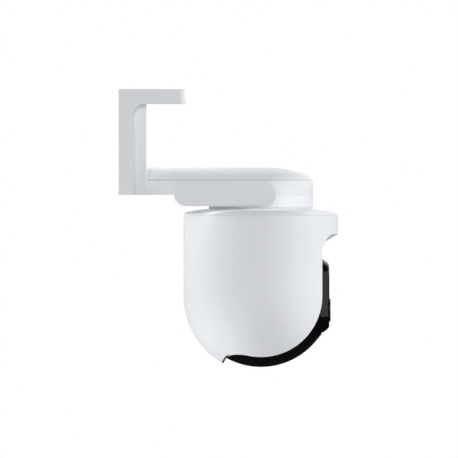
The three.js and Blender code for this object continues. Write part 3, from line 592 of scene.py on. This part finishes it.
def shell_point(radius, azimuth, depth, rim):
    """A point of a round-bottomed drum, by azimuth and by distance down the wall from the rim."""
    if depth <= rim:
        return Vector((radius * math.cos(azimuth), radius * math.sin(azimuth), rim - depth))
    a = (depth - rim) / radius
    flat = radius * math.cos(a)
    return Vector((flat * math.cos(azimuth), flat * math.sin(azimuth), -radius * math.sin(a)))


def shell_rows(radius, rim, rules, row_count):
    """Rows of points from the rim down to the window's edge, round the whole drum."""
    edge = [rule(radius) for rule in rules]
    lengths = [0.0]
    for a, b in zip(edge, edge[1:]):
        lengths.append(lengths[-1] + (b - a).length)
    columns = []
    for point, length in zip(edge, lengths):
        azimuth = math.atan2(point.y, point.x)
        depth = rim - point.z if point.z >= 0 else rim + radius * math.asin(min(1, -point.z / radius))
        rim_azimuth = 0.55 * azimuth + 0.45 * math.pi * length / lengths[-1]
        columns.append([
            shell_point(radius, rim_azimuth + (azimuth - rim_azimuth) * t, depth * t, rim)
            for t in linspace(0, 1, row_count)
        ])
    mirrored = [[Vector((p.x, -p.y, p.z)) for p in column] for column in columns[1:-1][::-1]]
    ring = columns + mirrored
    return [[column[i] for column in ring] for i in range(row_count)]


def weight_rows(obj, rows):
    """Marks the edges that run along the given rows of points for bevelling."""
    keys = {tuple(round(c, 3) for c in p) for row in rows for p in row}
    bm = bmesh.new()
    bm.from_mesh(obj.data)
    layer = bm.edges.layers.float.new("bevel_weight_edge")
    marked = {v for v in bm.verts if tuple(round(c / MM, 3) for c in v.co) in keys}
    for edge in bm.edges:
        if edge.verts[0] in marked and edge.verts[1] in marked and edge.calc_face_angle(0) > 0.5:
            edge[layer] = 1.0
    bm.to_mesh(obj.data)
    bm.free()


def bevel_marked(obj, width, segments=3):
    step = obj.modifiers.new("edges", "BEVEL")
    step.width = width * MM
    step.segments = segments
    step.limit_method = "WEIGHT"
    return apply_modifiers(obj)


def make_drum():
    rim = shell_high.z - TILT_Z
    rules = window_outline()
    outer = shell_rows(DRUM_R, rim, rules, 34)
    inner = shell_rows(DRUM_R - DRUM_SKIN, rim, rules, 34)
    drum = grid("drum", outer + inner[::-1], wrap_rows=True)
    weight_rows(drum, [outer[0], outer[-1], inner[0], inner[-1]])
    bevel_marked(drum, 0.45)
    moved(drum, CENTRE)
    speaker_low, speaker_high = box_mm("speaker")
    speaker_z = (speaker_low.z + speaker_high.z) / 2
    slits = []
    end_r = 0.7
    for y in (-6, -3, 0, 3, 6):
        reach = 6.5 - abs(y) / 3
        outline = arc((y, speaker_z + reach - end_r), end_r, 0, 180, 9)
        outline += arc((y, speaker_z - reach + end_r), end_r, 180, 360, 9)
        slits.append(prism("slit", outline, (shell_low.x - 2, shell_low.x + DRUM_SKIN + 3), "x"))
    boolean(drum, slits)
    finished(drum, "head", WHITE, "white_plastic", "housing_shell")


def make_drum_lid():
    rim, rise, landing, landing_r = LID["rim"], LID["rise"], LID["landing"], LID["landing_r"]
    bore = 7.3
    dome = [
        (r, rim + rise * math.sqrt(max(0, 1 - (r / DRUM_R) ** 2)))
        for r in [DRUM_R * math.sin(math.radians(a)) for a in linspace(43.5, 89, 26)]
    ]
    inner = DRUM_R - DRUM_SKIN - GAP
    profile = [(bore, landing), (landing_r - 0.6, landing), (landing_r - 0.25, landing + 0.08)] + dome
    profile += [(DRUM_R, rim - 0.1), (DRUM_R, rim - 0.55), (DRUM_R - 0.15, rim - 0.7)]
    profile += [(inner, rim - 0.7), (inner, rim - 4.2), (inner - 2, rim - 4.2), (inner - 2, rim - 1)]
    profile += [(landing_r, landing - 2.4), (bore, landing - 2.4)]
    lid = lathe("drum_lid", profile, "z", CENTRE, 224)
    finished(lid, "head", WHITE, "white_plastic", "housing_top")


def arch_cutter():
    """The window's front opening as a solid: an arch whose crown slopes down towards the drum's axis."""
    half, corner = SLOT["half"], SLOT["corner"]
    rise = math.tan(math.radians(SLOT["slope"]))
    reach = DRUM_R + 5
    centre_z = SLOT["top"] - corner
    outline = [(-half, -2 * reach), (half, -2 * reach)]
    outline += arc((half - corner, centre_z), corner, 0, 90, 25)
    outline += [(y, SLOT["top"]) for y in linspace(half - corner, corner - half, 25)[1:-1]]
    outline += arc((corner - half, centre_z), corner, 90, 180, 25)
    rows = [[(x, y, z + rise * (x - math.sqrt(DRUM_R**2 - y**2))) for y, z in outline] for x in (0, reach)]
    return moved(grid("arch", rows, caps=True), CENTRE)


def make_visor_underside():
    low, high = box_mm("visor_liner")
    inner = high.x - AXIS_X
    liner = block("visor_underside", low, high)
    bore = lathe("bore", [(0, low.z - 5), (inner, low.z - 5), (inner, high.z + 5), (0, high.z + 5)], "z",
                 (AXIS_X, 0, 0), 192)
    boolean(liner, [bore], "INTERSECT")
    room = BALL_R + 0.8
    outline = [
        (room * math.sin(math.radians(a)), -room * math.cos(math.radians(a)))
        for a in linspace(0, 180, 61)
    ]
    eye_room = lathe("eye_room", outline, "y", CENTRE, 144)
    boolean(liner, [eye_room, arch_cutter()])
    finished(liner, "head", WHITE, "white_plastic", "visor_liner")


# ------------------------------------------------------------------ eye


def ball_profile(radius, half, fillet):
    """The ball's section from one flat side to the other, as (distance from the tilt axis, Y) pairs."""
    edge = math.sqrt((radius - fillet) ** 2 - (half - fillet) ** 2)
    tangent = math.degrees(math.atan2(half - fillet, edge))
    side = arc((edge, half - fillet), fillet, 90, tangent, 7)
    crown = [(radius * math.cos(math.radians(a)), radius * math.sin(math.radians(a)))
             for a in linspace(tangent, 0, 25)[1:]]
    upper = side + crown
    return upper + [(r, -y) for r, y in upper[-2::-1]]


def smooth_max(a, b, blend):
    """The larger of two values, rounded where they cross."""
    overlap = max(blend - abs(a - b), 0) / blend
    return max(a, b) + overlap * overlap * blend / 4


def panel_half(x):
    """The face block's half width, half height and corner radius at a distance along X."""
    share = min(1, (PANEL_TIP - x) / (PANEL_TIP - PANEL_ROOT))
    half = [f + (r - f) * share for f, r in zip(PANEL["face_half"], PANEL["root_half"])]
    return half[0], half[1], PANEL["face_corner"] + (PANEL["root_corner"] - PANEL["face_corner"]) * share


def flank_reach(direction):
    """How far from the eye's centre a ray leaves through the face block's tapered flanks."""
    near, far = 0.0, 110.0
    for _ in range(30):
        middle = (near + far) / 2
        point = direction * middle
        half_y, half_z, corner = panel_half(point.x)
        over_y, over_z = abs(point.y) - half_y + corner, abs(point.z) - half_z + corner
        inside = math.hypot(max(over_y, 0), max(over_z, 0)) + min(max(over_y, over_z), 0) < corner
        near, far = (middle, far) if inside else (near, middle)
    return near


def on_eye(point, depth=0.0):
    """Moves a point of the ball out or in to the eye's surface: face, flanks, ball and a hollow fillet."""
    direction = point.normalized()
    if direction.x < 0.3:
        return point
    reach = smooth_max(point.length, flank_reach(direction), PANEL["foot_blend"])
    reach = -smooth_max(-reach, -PANEL_TIP / direction.x, PANEL["edge_blend"])
    return direction * (reach - depth)


def seam_rays(share, reach, steps=24):
    """Points in the directions of the line where the face and the ball shell meet, or of a share of it."""
    half_y, half_z, corner = panel_half(PANEL["seam_x"])
    outline = rounded_rect((half_y, half_z), corner, steps)
    return [Vector((PANEL["seam_x"], y * share, z * share)).normalized() * reach for y, z in outline]


def make_ball_half(name, node, start, end, cutters):
    """Half of the ball's shell, from one angle about the tilt axis to another in degrees."""
    skin, fillet, hub = 2.0, 0.8, 5.3
    outside = ball_profile(BALL_R, BALL_HALF, fillet)
    inside = ball_profile(BALL_R - skin, BALL_HALF - skin, fillet)
    loop = [(hub, BALL_HALF)] + outside + [(hub, -BALL_HALF), (hub, -BALL_HALF + skin)]
    loop += inside[::-1] + [(hub, BALL_HALF - skin)]
    rows = []
    for a in linspace(math.radians(start), math.radians(end), 151):
        row = [Vector((r * math.cos(a), y, -r * math.sin(a))) for r, y in loop]
        rows.append([on_eye(p) if p.length > BALL_R - skin / 2 else p for p in row])
    half = moved(grid(name, rows, caps=True), CENTRE)
    boolean(half, cutters)
    finished(half, "eye", BLACK, "black_gloss", node)


def make_face():
    """The gloss face: a flat front that curves into the ball, with openings for the lens and the lights."""
    skin, hairline = 2.0, 0.003
    shares = linspace(0, 0.66, 6)[1:] + linspace(0.66, 1 - hairline, 44)[1:]
    outer = [[on_eye(point) for point in seam_rays(share, BALL_R)] for share in shares]
    inner = [[on_eye(point, skin) for point in seam_rays(share, BALL_R)] for share in shares]
    face = moved(grid("face", inner + outer[::-1], caps=True), CENTRE)
    span = (panel_high.x - 12, panel_high.x + 5)
    holes = []
    for node in ("lens_ring", "light_sensor", "microphone", "light_lens_left", "light_lens_right"):
        middle = mid(node)
        holes.append(round_hole(span, middle.y, middle.z, half_size(node).y + 0.15))
    boolean(face, holes)
    finished(face, "eye", BLACK, "black_gloss", "face_panel")


def make_eye():
    opening = [seam_rays(1, BALL_R / 2), seam_rays(1, BALL_R + 5)]
    cutter = moved(grid("opening", opening, caps=True), CENTRE)
    make_ball_half("ball_front", "ball_front_shell", -90, 90, [cutter])
    make_ball_half("ball_rear", "ball_rear_shell", 90, 270, [])
    make_face()


def round_hole(x_span, y, z, radius, steps=64):
    outline = [(y + a, z + b) for a, b in arc((0, 0), radius, 0, 360, steps + 1)[:-1]]
    return prism("hole", outline, x_span, "x")


def mid(node):
    low, high = box_mm(node)
    return (low + high) / 2


def half_size(node):
    low, high = box_mm(node)
    return (high - low) / 2


def make_lens():
    """The raised lens ring with stepped inner baffles, and its domed front element."""
    middle = mid("lens_ring")
    at = (0, middle.y, middle.z)
    r, front, back = half_size("lens_ring").y, lens_high.x, lens_low.x
    glass_r = half_size("lens_glass").y
    profile = [(r, back), (r, front - 0.35)] + arc((r - 0.35, front - 0.35), 0.35, 0, 90, 5)
    profile += [(r - 1.1, front), (r - 1.25, front - 0.1), (glass_r + 0.5, front - 0.75)]
    profile += [(glass_r + 0.5, front - 1.0)]
    profile += [(glass_r + 0.1, front - 1.05), (glass_r + 0.1, back)]
    ring = lathe("lens_bezel", profile, "x", at, 128)
    finished(ring, "eye", BLACK, "black_gloss", "lens_ring")
    glass_low, glass_high = box_mm("lens_glass")
    sag = 0.9
    dome_r = (glass_r**2 + sag**2) / (2 * sag)
    reach = math.degrees(math.asin(glass_r / dome_r))
    top = glass_high.x
    dome = [(dome_r * math.sin(math.radians(a)), top - dome_r + dome_r * math.cos(math.radians(a)))
            for a in linspace(0, reach, 14)]
    element = lathe("lens_front", dome + [(glass_r, glass_low.x), (0, glass_low.x)], "x", at, 96)
    finished(element, "eye", LENS, "lens_glass", "lens_glass")
    element.visible_shadow = False


def domed_disc(name, node, sag, rim, body, material, slot):
    """A short round piece along X whose front is domed, with an eased rim."""
    low, high = box_mm(node)
    middle, r = mid(node), half_size(node).y
    flat_r = r - rim
    dome_r = (flat_r**2 + sag**2) / (2 * sag)
    reach = math.degrees(math.asin(min(1, flat_r / dome_r)))
    profile = [(0, low.x), (r, low.x), (r, high.x - sag - rim), (r - rim * 0.3, high.x - sag - rim * 0.3)]
    profile += [(dome_r * math.sin(math.radians(a)), high.x - dome_r + dome_r * math.cos(math.radians(a)))
                for a in linspace(reach, 0, 12)]
    piece = lathe(name, profile, "x", (0, middle.y, middle.z), 64)
    finished(piece, body, material, slot, node)
    piece.visible_shadow = False


def make_face_parts():
    """The light sensor, the microphone's grille, and the lights with their reflector cups."""
    domed_disc("light_sensor_window", "light_sensor", 0.25, 0.15, "eye", LENS, "lens_glass")
    low, high = box_mm("microphone")
    middle, r = mid("microphone"), half_size("microphone").y
    profile = [(0, low.x), (r, low.x), (r, high.x - 0.1), (r - 0.1, high.x), (r * 0.55, high.x)]
    profile += [(r * 0.5, high.x - 0.3), (0, high.x - 0.3)]
    pick_up = lathe("microphone_port", profile, "x", (0, middle.y, middle.z), 40)
    finished(pick_up, "eye", DARK, "dark_plastic", "microphone")
    for side in ("left", "right"):
        domed_disc("light_window_" + side, "light_lens_" + side, 0.5, 0.2, "eye", CLEAR, "clear_lens")
        domed_disc("light_emitter_" + side, "light_led_" + side, 0.8, 0.2, "eye", PHOSPHOR, "clear_lens")
        low, high = box_mm("light_lens_" + side)
        middle, r = mid("light_lens_" + side), half_size("light_lens_" + side).y
        led_r = half_size("light_led_" + side).y
        depth = box_mm("light_led_" + side)[0].x
        cup = [(led_r + 0.3, depth), (led_r + 0.6, depth), (r - 0.4, low.x - 0.25), (r - 0.7, low.x - 0.25)]
        reflector = lathe("reflector_" + side, cup, "x", (0, middle.y, middle.z), 64)
        finished(reflector, "eye", WHITE, "white_plastic")


# ------------------------------------------------------------------ bracket


def arm_outline(inset=0.0):
    """The lower arm's plan, flaring out to the wall plate, as (x, y) pairs."""
    r, flare = ARM_R - inset, SPINE["flare"] - inset
    near, far = LOWER_ARM["flare_pulls"]
    curve = bezier((LOWER_ARM["flare_end"], r), (far, r), (near, flare), (PLATE["depth"], flare), 41)
    upper = [(AXIS_X, r)] + curve + [(1.0, flare)]
    lower = [(x, -y) for x, y in upper[::-1]]
    return lower + arc((AXIS_X, 0), r, -90, 90, 73)[1:-1] + upper


def make_bracket():
    half_h, half_w, depth = frame_high.z, frame_high.y, PLATE["depth"]
    underside = box_mm("top_arm_cover")[0].z
    fillet, reach = TOP_ARM["fillet"], TOP_ARM["reach"]
    # the arm's underside lies just below the plate's, so that the two join cleanly
    plate_foot = -half_h + 0.02
    side = [(0, plate_foot), (depth, plate_foot)]
    side += arc((depth + fillet, underside - fillet), fillet, 180, 90, 13)
    side += [(reach, underside), (reach - TOP_ARM["lean"], half_h), (0, half_h)]
    upper = prism("bracket", side, (-half_w, half_w), "y")
    corner = TOP_ARM["corner"]
    plan = [(-1, -half_w), (reach - corner, -half_w)]
    plan += arc((reach - corner, -half_w + corner), corner, -90, 0, 9)[1:]
    plan += arc((reach - corner, half_w - corner), corner, 0, 90, 9) + [(-1, half_w)]
    boolean(upper, [prism("plan", plan, (-half_h - 5, half_h + 5), "z")], "INTERSECT")
    bevel(upper, 0.45, 3, 30)
    arm = prism("arm", arm_outline(), (-half_h, underside + 2), "z")
    top = LOWER_ARM["top"]
    profile = [(-1, -half_h - 1), (130, -half_h - 1), (130, top), (SPINE["front"], top),
               (SPINE["front"], underside + 3), (-1, underside + 3)]
    boolean(arm, [prism("side", profile, (-60, 60), "y")], "INTERSECT")
    bevel(arm, 0.3, 2, 40)
    boolean(upper, [arm], "UNION")
    boolean(upper, bracket_hollows(half_w, half_h, underside))
    finished(upper, "root", WHITE, "white_plastic", "bracket_frame")


def upright_hole(x, y, radius, z_span):
    outline = [(x + a, y + b) for a, b in arc((0, 0), radius, 0, 360, 41)[:-1]]
    return prism("hole", outline, z_span, "z")


def bracket_hollows(half_w, half_h, underside):
    skin = PLATE["skin"]
    wall_side = half_w - skin
    cover_low, cover_high = box_mm("top_arm_cover")
    trough_r = ARM_R - skin
    trough = [(SPINE["front"] + skin, -trough_r)] + arc((AXIS_X, 0), trough_r, -90, 90, 49)
    trough += [(SPINE["front"] + skin, trough_r)]
    port_low, port_high = box_mm("port_cover")
    hollows = [
        prism("trough", trough, (LOWER_ARM["floor"], LOWER_ARM["top"] + 1), "z"),
        block("rear", (-1, -wall_side, -half_h + skin), (PLATE["depth"] - skin, wall_side, half_h - skin)),
        block("spine", (-1, -ARM_R + 3, LOWER_ARM["top"] + skin),
              (SPINE["front"] - skin, ARM_R - 3, underside - skin)),
        block("rebate", (cover_low.x - GAP, cover_low.y - GAP, underside - 1),
              (cover_high.x + GAP, cover_high.y + GAP, cover_high.z + GAP)),
        block("port", (port_low.x - GAP, port_low.y - GAP, -half_h - 1),
              (port_high.x + GAP, port_high.y + GAP, port_high.z + GAP)),
        upright_hole(AXIS_X, 0, 5, (-half_h - 1, LOWER_ARM["floor"] + 1)),
        upright_hole(mid("reset_button").x, 0, 2.3, (-half_h - 1, LOWER_ARM["floor"] + 1)),
    ]
    for side in ("left", "right"):
        cap_at, lock_at = mid("cap_screw_" + side), mid("lock_screw_" + side)
        hollows.append(upright_hole(cap_at.x, cap_at.y, 2.9, (-half_h - 1, -half_h + 1.6)))
        hollows.append(upright_hole(lock_at.x, lock_at.y, 2.9, (-half_h - 1, -half_h + 1.6)))
        sign = -1 if side == "left" else 1
        screw_x, screw_y = TOP_ARM["screw_x"], sign * TOP_ARM["screw_y"]
        hollows.append(upright_hole(screw_x, screw_y, 2.2, (half_h - skin - 1, half_h + 1)))
    return hollows


def dome_height(share, height):
    return height * max(0.0, 1 - share**2) ** CAP_FULLNESS


def make_arm_lid():
    """The lower arm's domed lid: a stadium in plan whose height falls off towards its edge."""
    start = cap_low.x
    rim, crest = LOWER_ARM["top"] + GAP, cap_high.z
    edge = [(x, -ARM_R) for x in linspace(start, AXIS_X, 41)]
    edge += arc((AXIS_X, 0), ARM_R, -90, 90, 73)[1:-1]
    edge += [(x, ARM_R) for x in linspace(AXIS_X, start, 41)]
    rows = []
    for angle in linspace(0, 90, 25):
        share = math.cos(math.radians(angle))
        height = rim + dome_height(share, crest - rim)
        rows.append([(min(x, AXIS_X) + max(0, x - AXIS_X) * share, y * share, height) for x, y in edge])
    lid = grid("arm_lid", rows, wrap_columns=False)
    thick = lid.modifiers.new("thickness", "SOLIDIFY")
    thick.thickness = 1.8 * MM
    thick.offset = -1
    apply_modifiers(lid)
    finished(lid, "root", WHITE, "white_plastic", "bracket_cap")


def make_base_ring():
    top, bottom = frame_low.z - 0.05, ring_low.z
    chamfer, skin, floor, bore = 0.5, 2.4, 2.0, 10.3
    inner = ARM_R - skin
    profile = [(bore, bottom + floor), (inner, bottom + floor), (inner, top)]
    profile += [(ARM_R - 0.12, top), (ARM_R, top - 0.12)]
    profile += [(ARM_R, bottom + chamfer + 0.15), (ARM_R - 0.05, bottom + chamfer)]
    profile += [(ARM_R - chamfer, bottom + 0.05), (ARM_R - chamfer - 0.15, bottom), (bore, bottom)]
    ring = lathe("base", profile, "z", (AXIS_X, 0, 0), 192)
    finished(ring, "root", WHITE, "white_plastic", "base_ring")


def make_base_seal():
    """The pale skirt that closes the gap between the base ring and the turning head."""
    low, high = box_mm("base_seal")
    inner, outer = (high.y - low.y) / 2 - 3, ARM_R - 0.1
    foot = TILT_Z + LID["landing"] + 0.06
    profile = [(inner, foot), (outer - 0.1, foot), (outer, foot + 0.1), (outer, ring_low.z - 0.02)]
    profile += [(inner + 3, ring_low.z - 0.02), (inner + 3, high.z), (inner, high.z)]
    seal = lathe("seal_skirt", profile, "z", (AXIS_X, 0, 0), 160)
    finished(seal, "root", WHITE, "white_plastic", "base_seal")


# ------------------------------------------------------------------ small parts


def rounded_block(name, low, high, corner, edge):
    """A block with round upright corners and eased edges."""
    middle = [(a + b) / 2 for a, b in zip(low, high)]
    half = [(b - a) / 2 for a, b in zip(low, high)]
    outline = [(middle[0] + x, middle[1] + y) for x, y in rounded_rect((half[0], half[1]), corner, 6)]
    return bevel(prism(name, outline, (low[2], high[2]), "z"), edge, 2, 40)


def make_wall_plate():
    """The backing plate: rounded corners, dished screw holes and two tabs for the locking screws."""
    low, high = box_mm("wall_plate")
    thickness, tab_half, tab_height = 1.8, 4.0, 4.5
    outline = rounded_rect((high.y, high.z), 3.0, 6)
    plate = prism("backing_plate", outline, (low.x, low.x + thickness), "x")
    cuts = []
    for side in ("left", "right"):
        at = mid("lock_screw_" + side)
        tab = block("tab", (0.5, at.y - tab_half, low.z), (high.x, at.y + tab_half, low.z + tab_height))
        boolean(plate, [tab], "UNION")
        cuts.append(upright_hole(at.x, at.y, 1.6, (low.z - 1, low.z + tab_height + 1)))
        sign = 1 if at.y > 0 else -1
        for z in (-PLATE["screw_z"], PLATE["screw_z"]):
            hole = [(0, -1), (2.2, -1), (2.2, 0.6), (3.6, thickness + 0.1)]
            hole += [(3.6, thickness + 2), (0, thickness + 2)]
            cuts.append(lathe("hole", hole, "x", (0, sign * PLATE["screw_y"], z), 40))
    bevel(plate, 0.25, 2, 40)
    boolean(plate, cuts)
    finished(plate, "root", STEEL, "steel", "wall_plate")


def make_top_arm_cover():
    """The cover under the top arm, with two finger dips."""
    low, high = box_mm("top_arm_cover")
    cover = rounded_block("arm_cover", low, high, 1.2, 0.25)
    dips = []
    for y in (-26.0, 26.0):
        dips.append(lathe("dip", [(0, -5), (3.4, -5), (3.1, 0.35), (2.4, 0.6), (0, 0.7)], "z",
                          ((low.x + high.x) / 2, y, low.z), 40))
    boolean(cover, dips)
    finished(cover, "root", WHITE, "white_plastic", "top_arm_cover")


def make_port_cover():
    """The soft flap over the power socket, with three grip grooves."""
    low, high = box_mm("port_cover")
    flap = rounded_block("port_flap", low, high, 1.4, 0.2)
    for x in (-1.4, 0.0, 1.4):
        middle = low.x + 2.6 + x
        start, end = (middle - 0.35, -4, low.z - 0.4), (middle + 0.35, 4, low.z + 0.35)
        groove = rounded_block("groove", start, end, 0.3, 0.12)
        boolean(flap, [groove])
    finished(flap, "root", RUBBER, "rubber", "port_cover")


def make_screws():
    """The cap's and the wall plate's screws, with cross slots and threads."""
    for kind in ("cap_screw_", "lock_screw_"):
        for side in ("left", "right"):
            node = kind + side
            low, high = box_mm(node)
            middle, r, top = mid(node), half_size(node).y, high.z
            shank, head = 1.25, low.z + 1.3
            profile = [(0, low.z), (r * 0.6, low.z + 0.03), (r * 0.9, low.z + 0.22)]
            profile += [(r, low.z + 0.6), (r, head)]
            turns = int((top - head - 1) / 0.8)
            for turn in range(turns):
                z = head + 0.4 + turn * 0.8
                profile += [(shank - 0.15, z), (shank, z + 0.2), (shank, z + 0.4), (shank - 0.15, z + 0.6)]
            profile += [(shank - 0.2, top - 0.5), (0.4, top), (0, top)]
            body = lathe(node + "_fine", profile, "z", (middle.x, middle.y, 0), 40)
            cross = []
            for reach_x, reach_y in ((0.4, 1.7), (1.7, 0.4)):
                start = (middle.x - reach_x, middle.y - reach_y, low.z - 1)
                end = (middle.x + reach_x, middle.y + reach_y, low.z + 0.6)
                cross.append(block("slot", start, end))
            boolean(body, cross)
            finished(body, "root", STEEL, "steel", node)


def make_reset_button():
    low, high = box_mm("reset_button")
    middle, flange = mid("reset_button"), half_size("reset_button").y
    stem = 2.0
    profile = [(0, low.z + 0.25), (stem * 0.6, low.z + 0.2), (stem - 0.3, low.z), (stem, low.z + 0.3),
               (stem, high.z - 0.8), (flange, high.z - 0.8), (flange, high.z), (0, high.z)]
    button = lathe("reset_cap", profile, "z", (middle.x, middle.y, 0), 48)
    finished(button, "reset_button", DARK, "dark_plastic", "reset_button")


# ------------------------------------------------------------------ antennas


def capsule_row(inset, y, pivot, tip_x, radius):
    """A capsule's outline in the XZ plane, shrunk by an inset, at one Y."""
    px, pz = pivot
    r = radius - inset
    far_x = tip_x + radius
    ring = arc((px, pz), r, -90, 90, 25) + arc((far_x, pz), r, 90, 270, 25)
    return [(x, y, z) for x, z in ring]


def make_antenna(side, sign):
    radius = (cover_high.z - cover_low.z) / 2
    pivot = (cover_high.x - radius, (cover_high.z + cover_low.z) / 2)
    tip = cover_low.x
    inner, seam, outer = (abs(y) for y in (back_high.y, back_low.y, cover_low.y))
    soft, crisp = 1.1, 0.25

    def rounded(y, direction, amount, count=6):
        """Rows that round an edge: direction is +1 where the flat side lies further from the arm."""
        steps = linspace(0, 90, count)
        rows = []
        for a in steps:
            inset = amount * (1 - math.cos(math.radians(a)))
            shift = amount * math.sin(math.radians(a))
            rows.append((inset, y - direction * (amount - shift)))
        return rows

    def build(name, low, high, low_round, high_round, node):
        rows = rounded(low, -1, low_round)[::-1] + rounded(high, 1, high_round)
        rings = [capsule_row(i, sign * y, pivot, tip, radius) for i, y in rows]
        piece = grid(name, rings, caps=True)
        finished(piece, "antenna_" + side, WHITE, "white_plastic", node)

    build("antenna_" + side + "_inner_half", inner, seam, soft, crisp, "antenna_" + side + "_back")
    build("antenna_" + side + "_outer_half", seam + GAP, outer, crisp, soft, "antenna_" + side + "_cover")


# ------------------------------------------------------------------ build

make_camera()
make_stage()
make_studio()
make_lights()
dress_cad_nodes()
make_bracket()
make_arm_lid()
make_base_ring()
make_base_seal()
make_wall_plate()
make_top_arm_cover()
make_port_cover()
make_screws()
make_reset_button()
make_drum()
# a dark lip of painted shade round the slot's rear end
make_slot_shade_lip()
make_drum_lid()
make_visor_underside()
make_eye()
make_lens()
make_face_parts()
for side, sign in (("left", -1), ("right", 1)):
    make_antenna(side, sign)
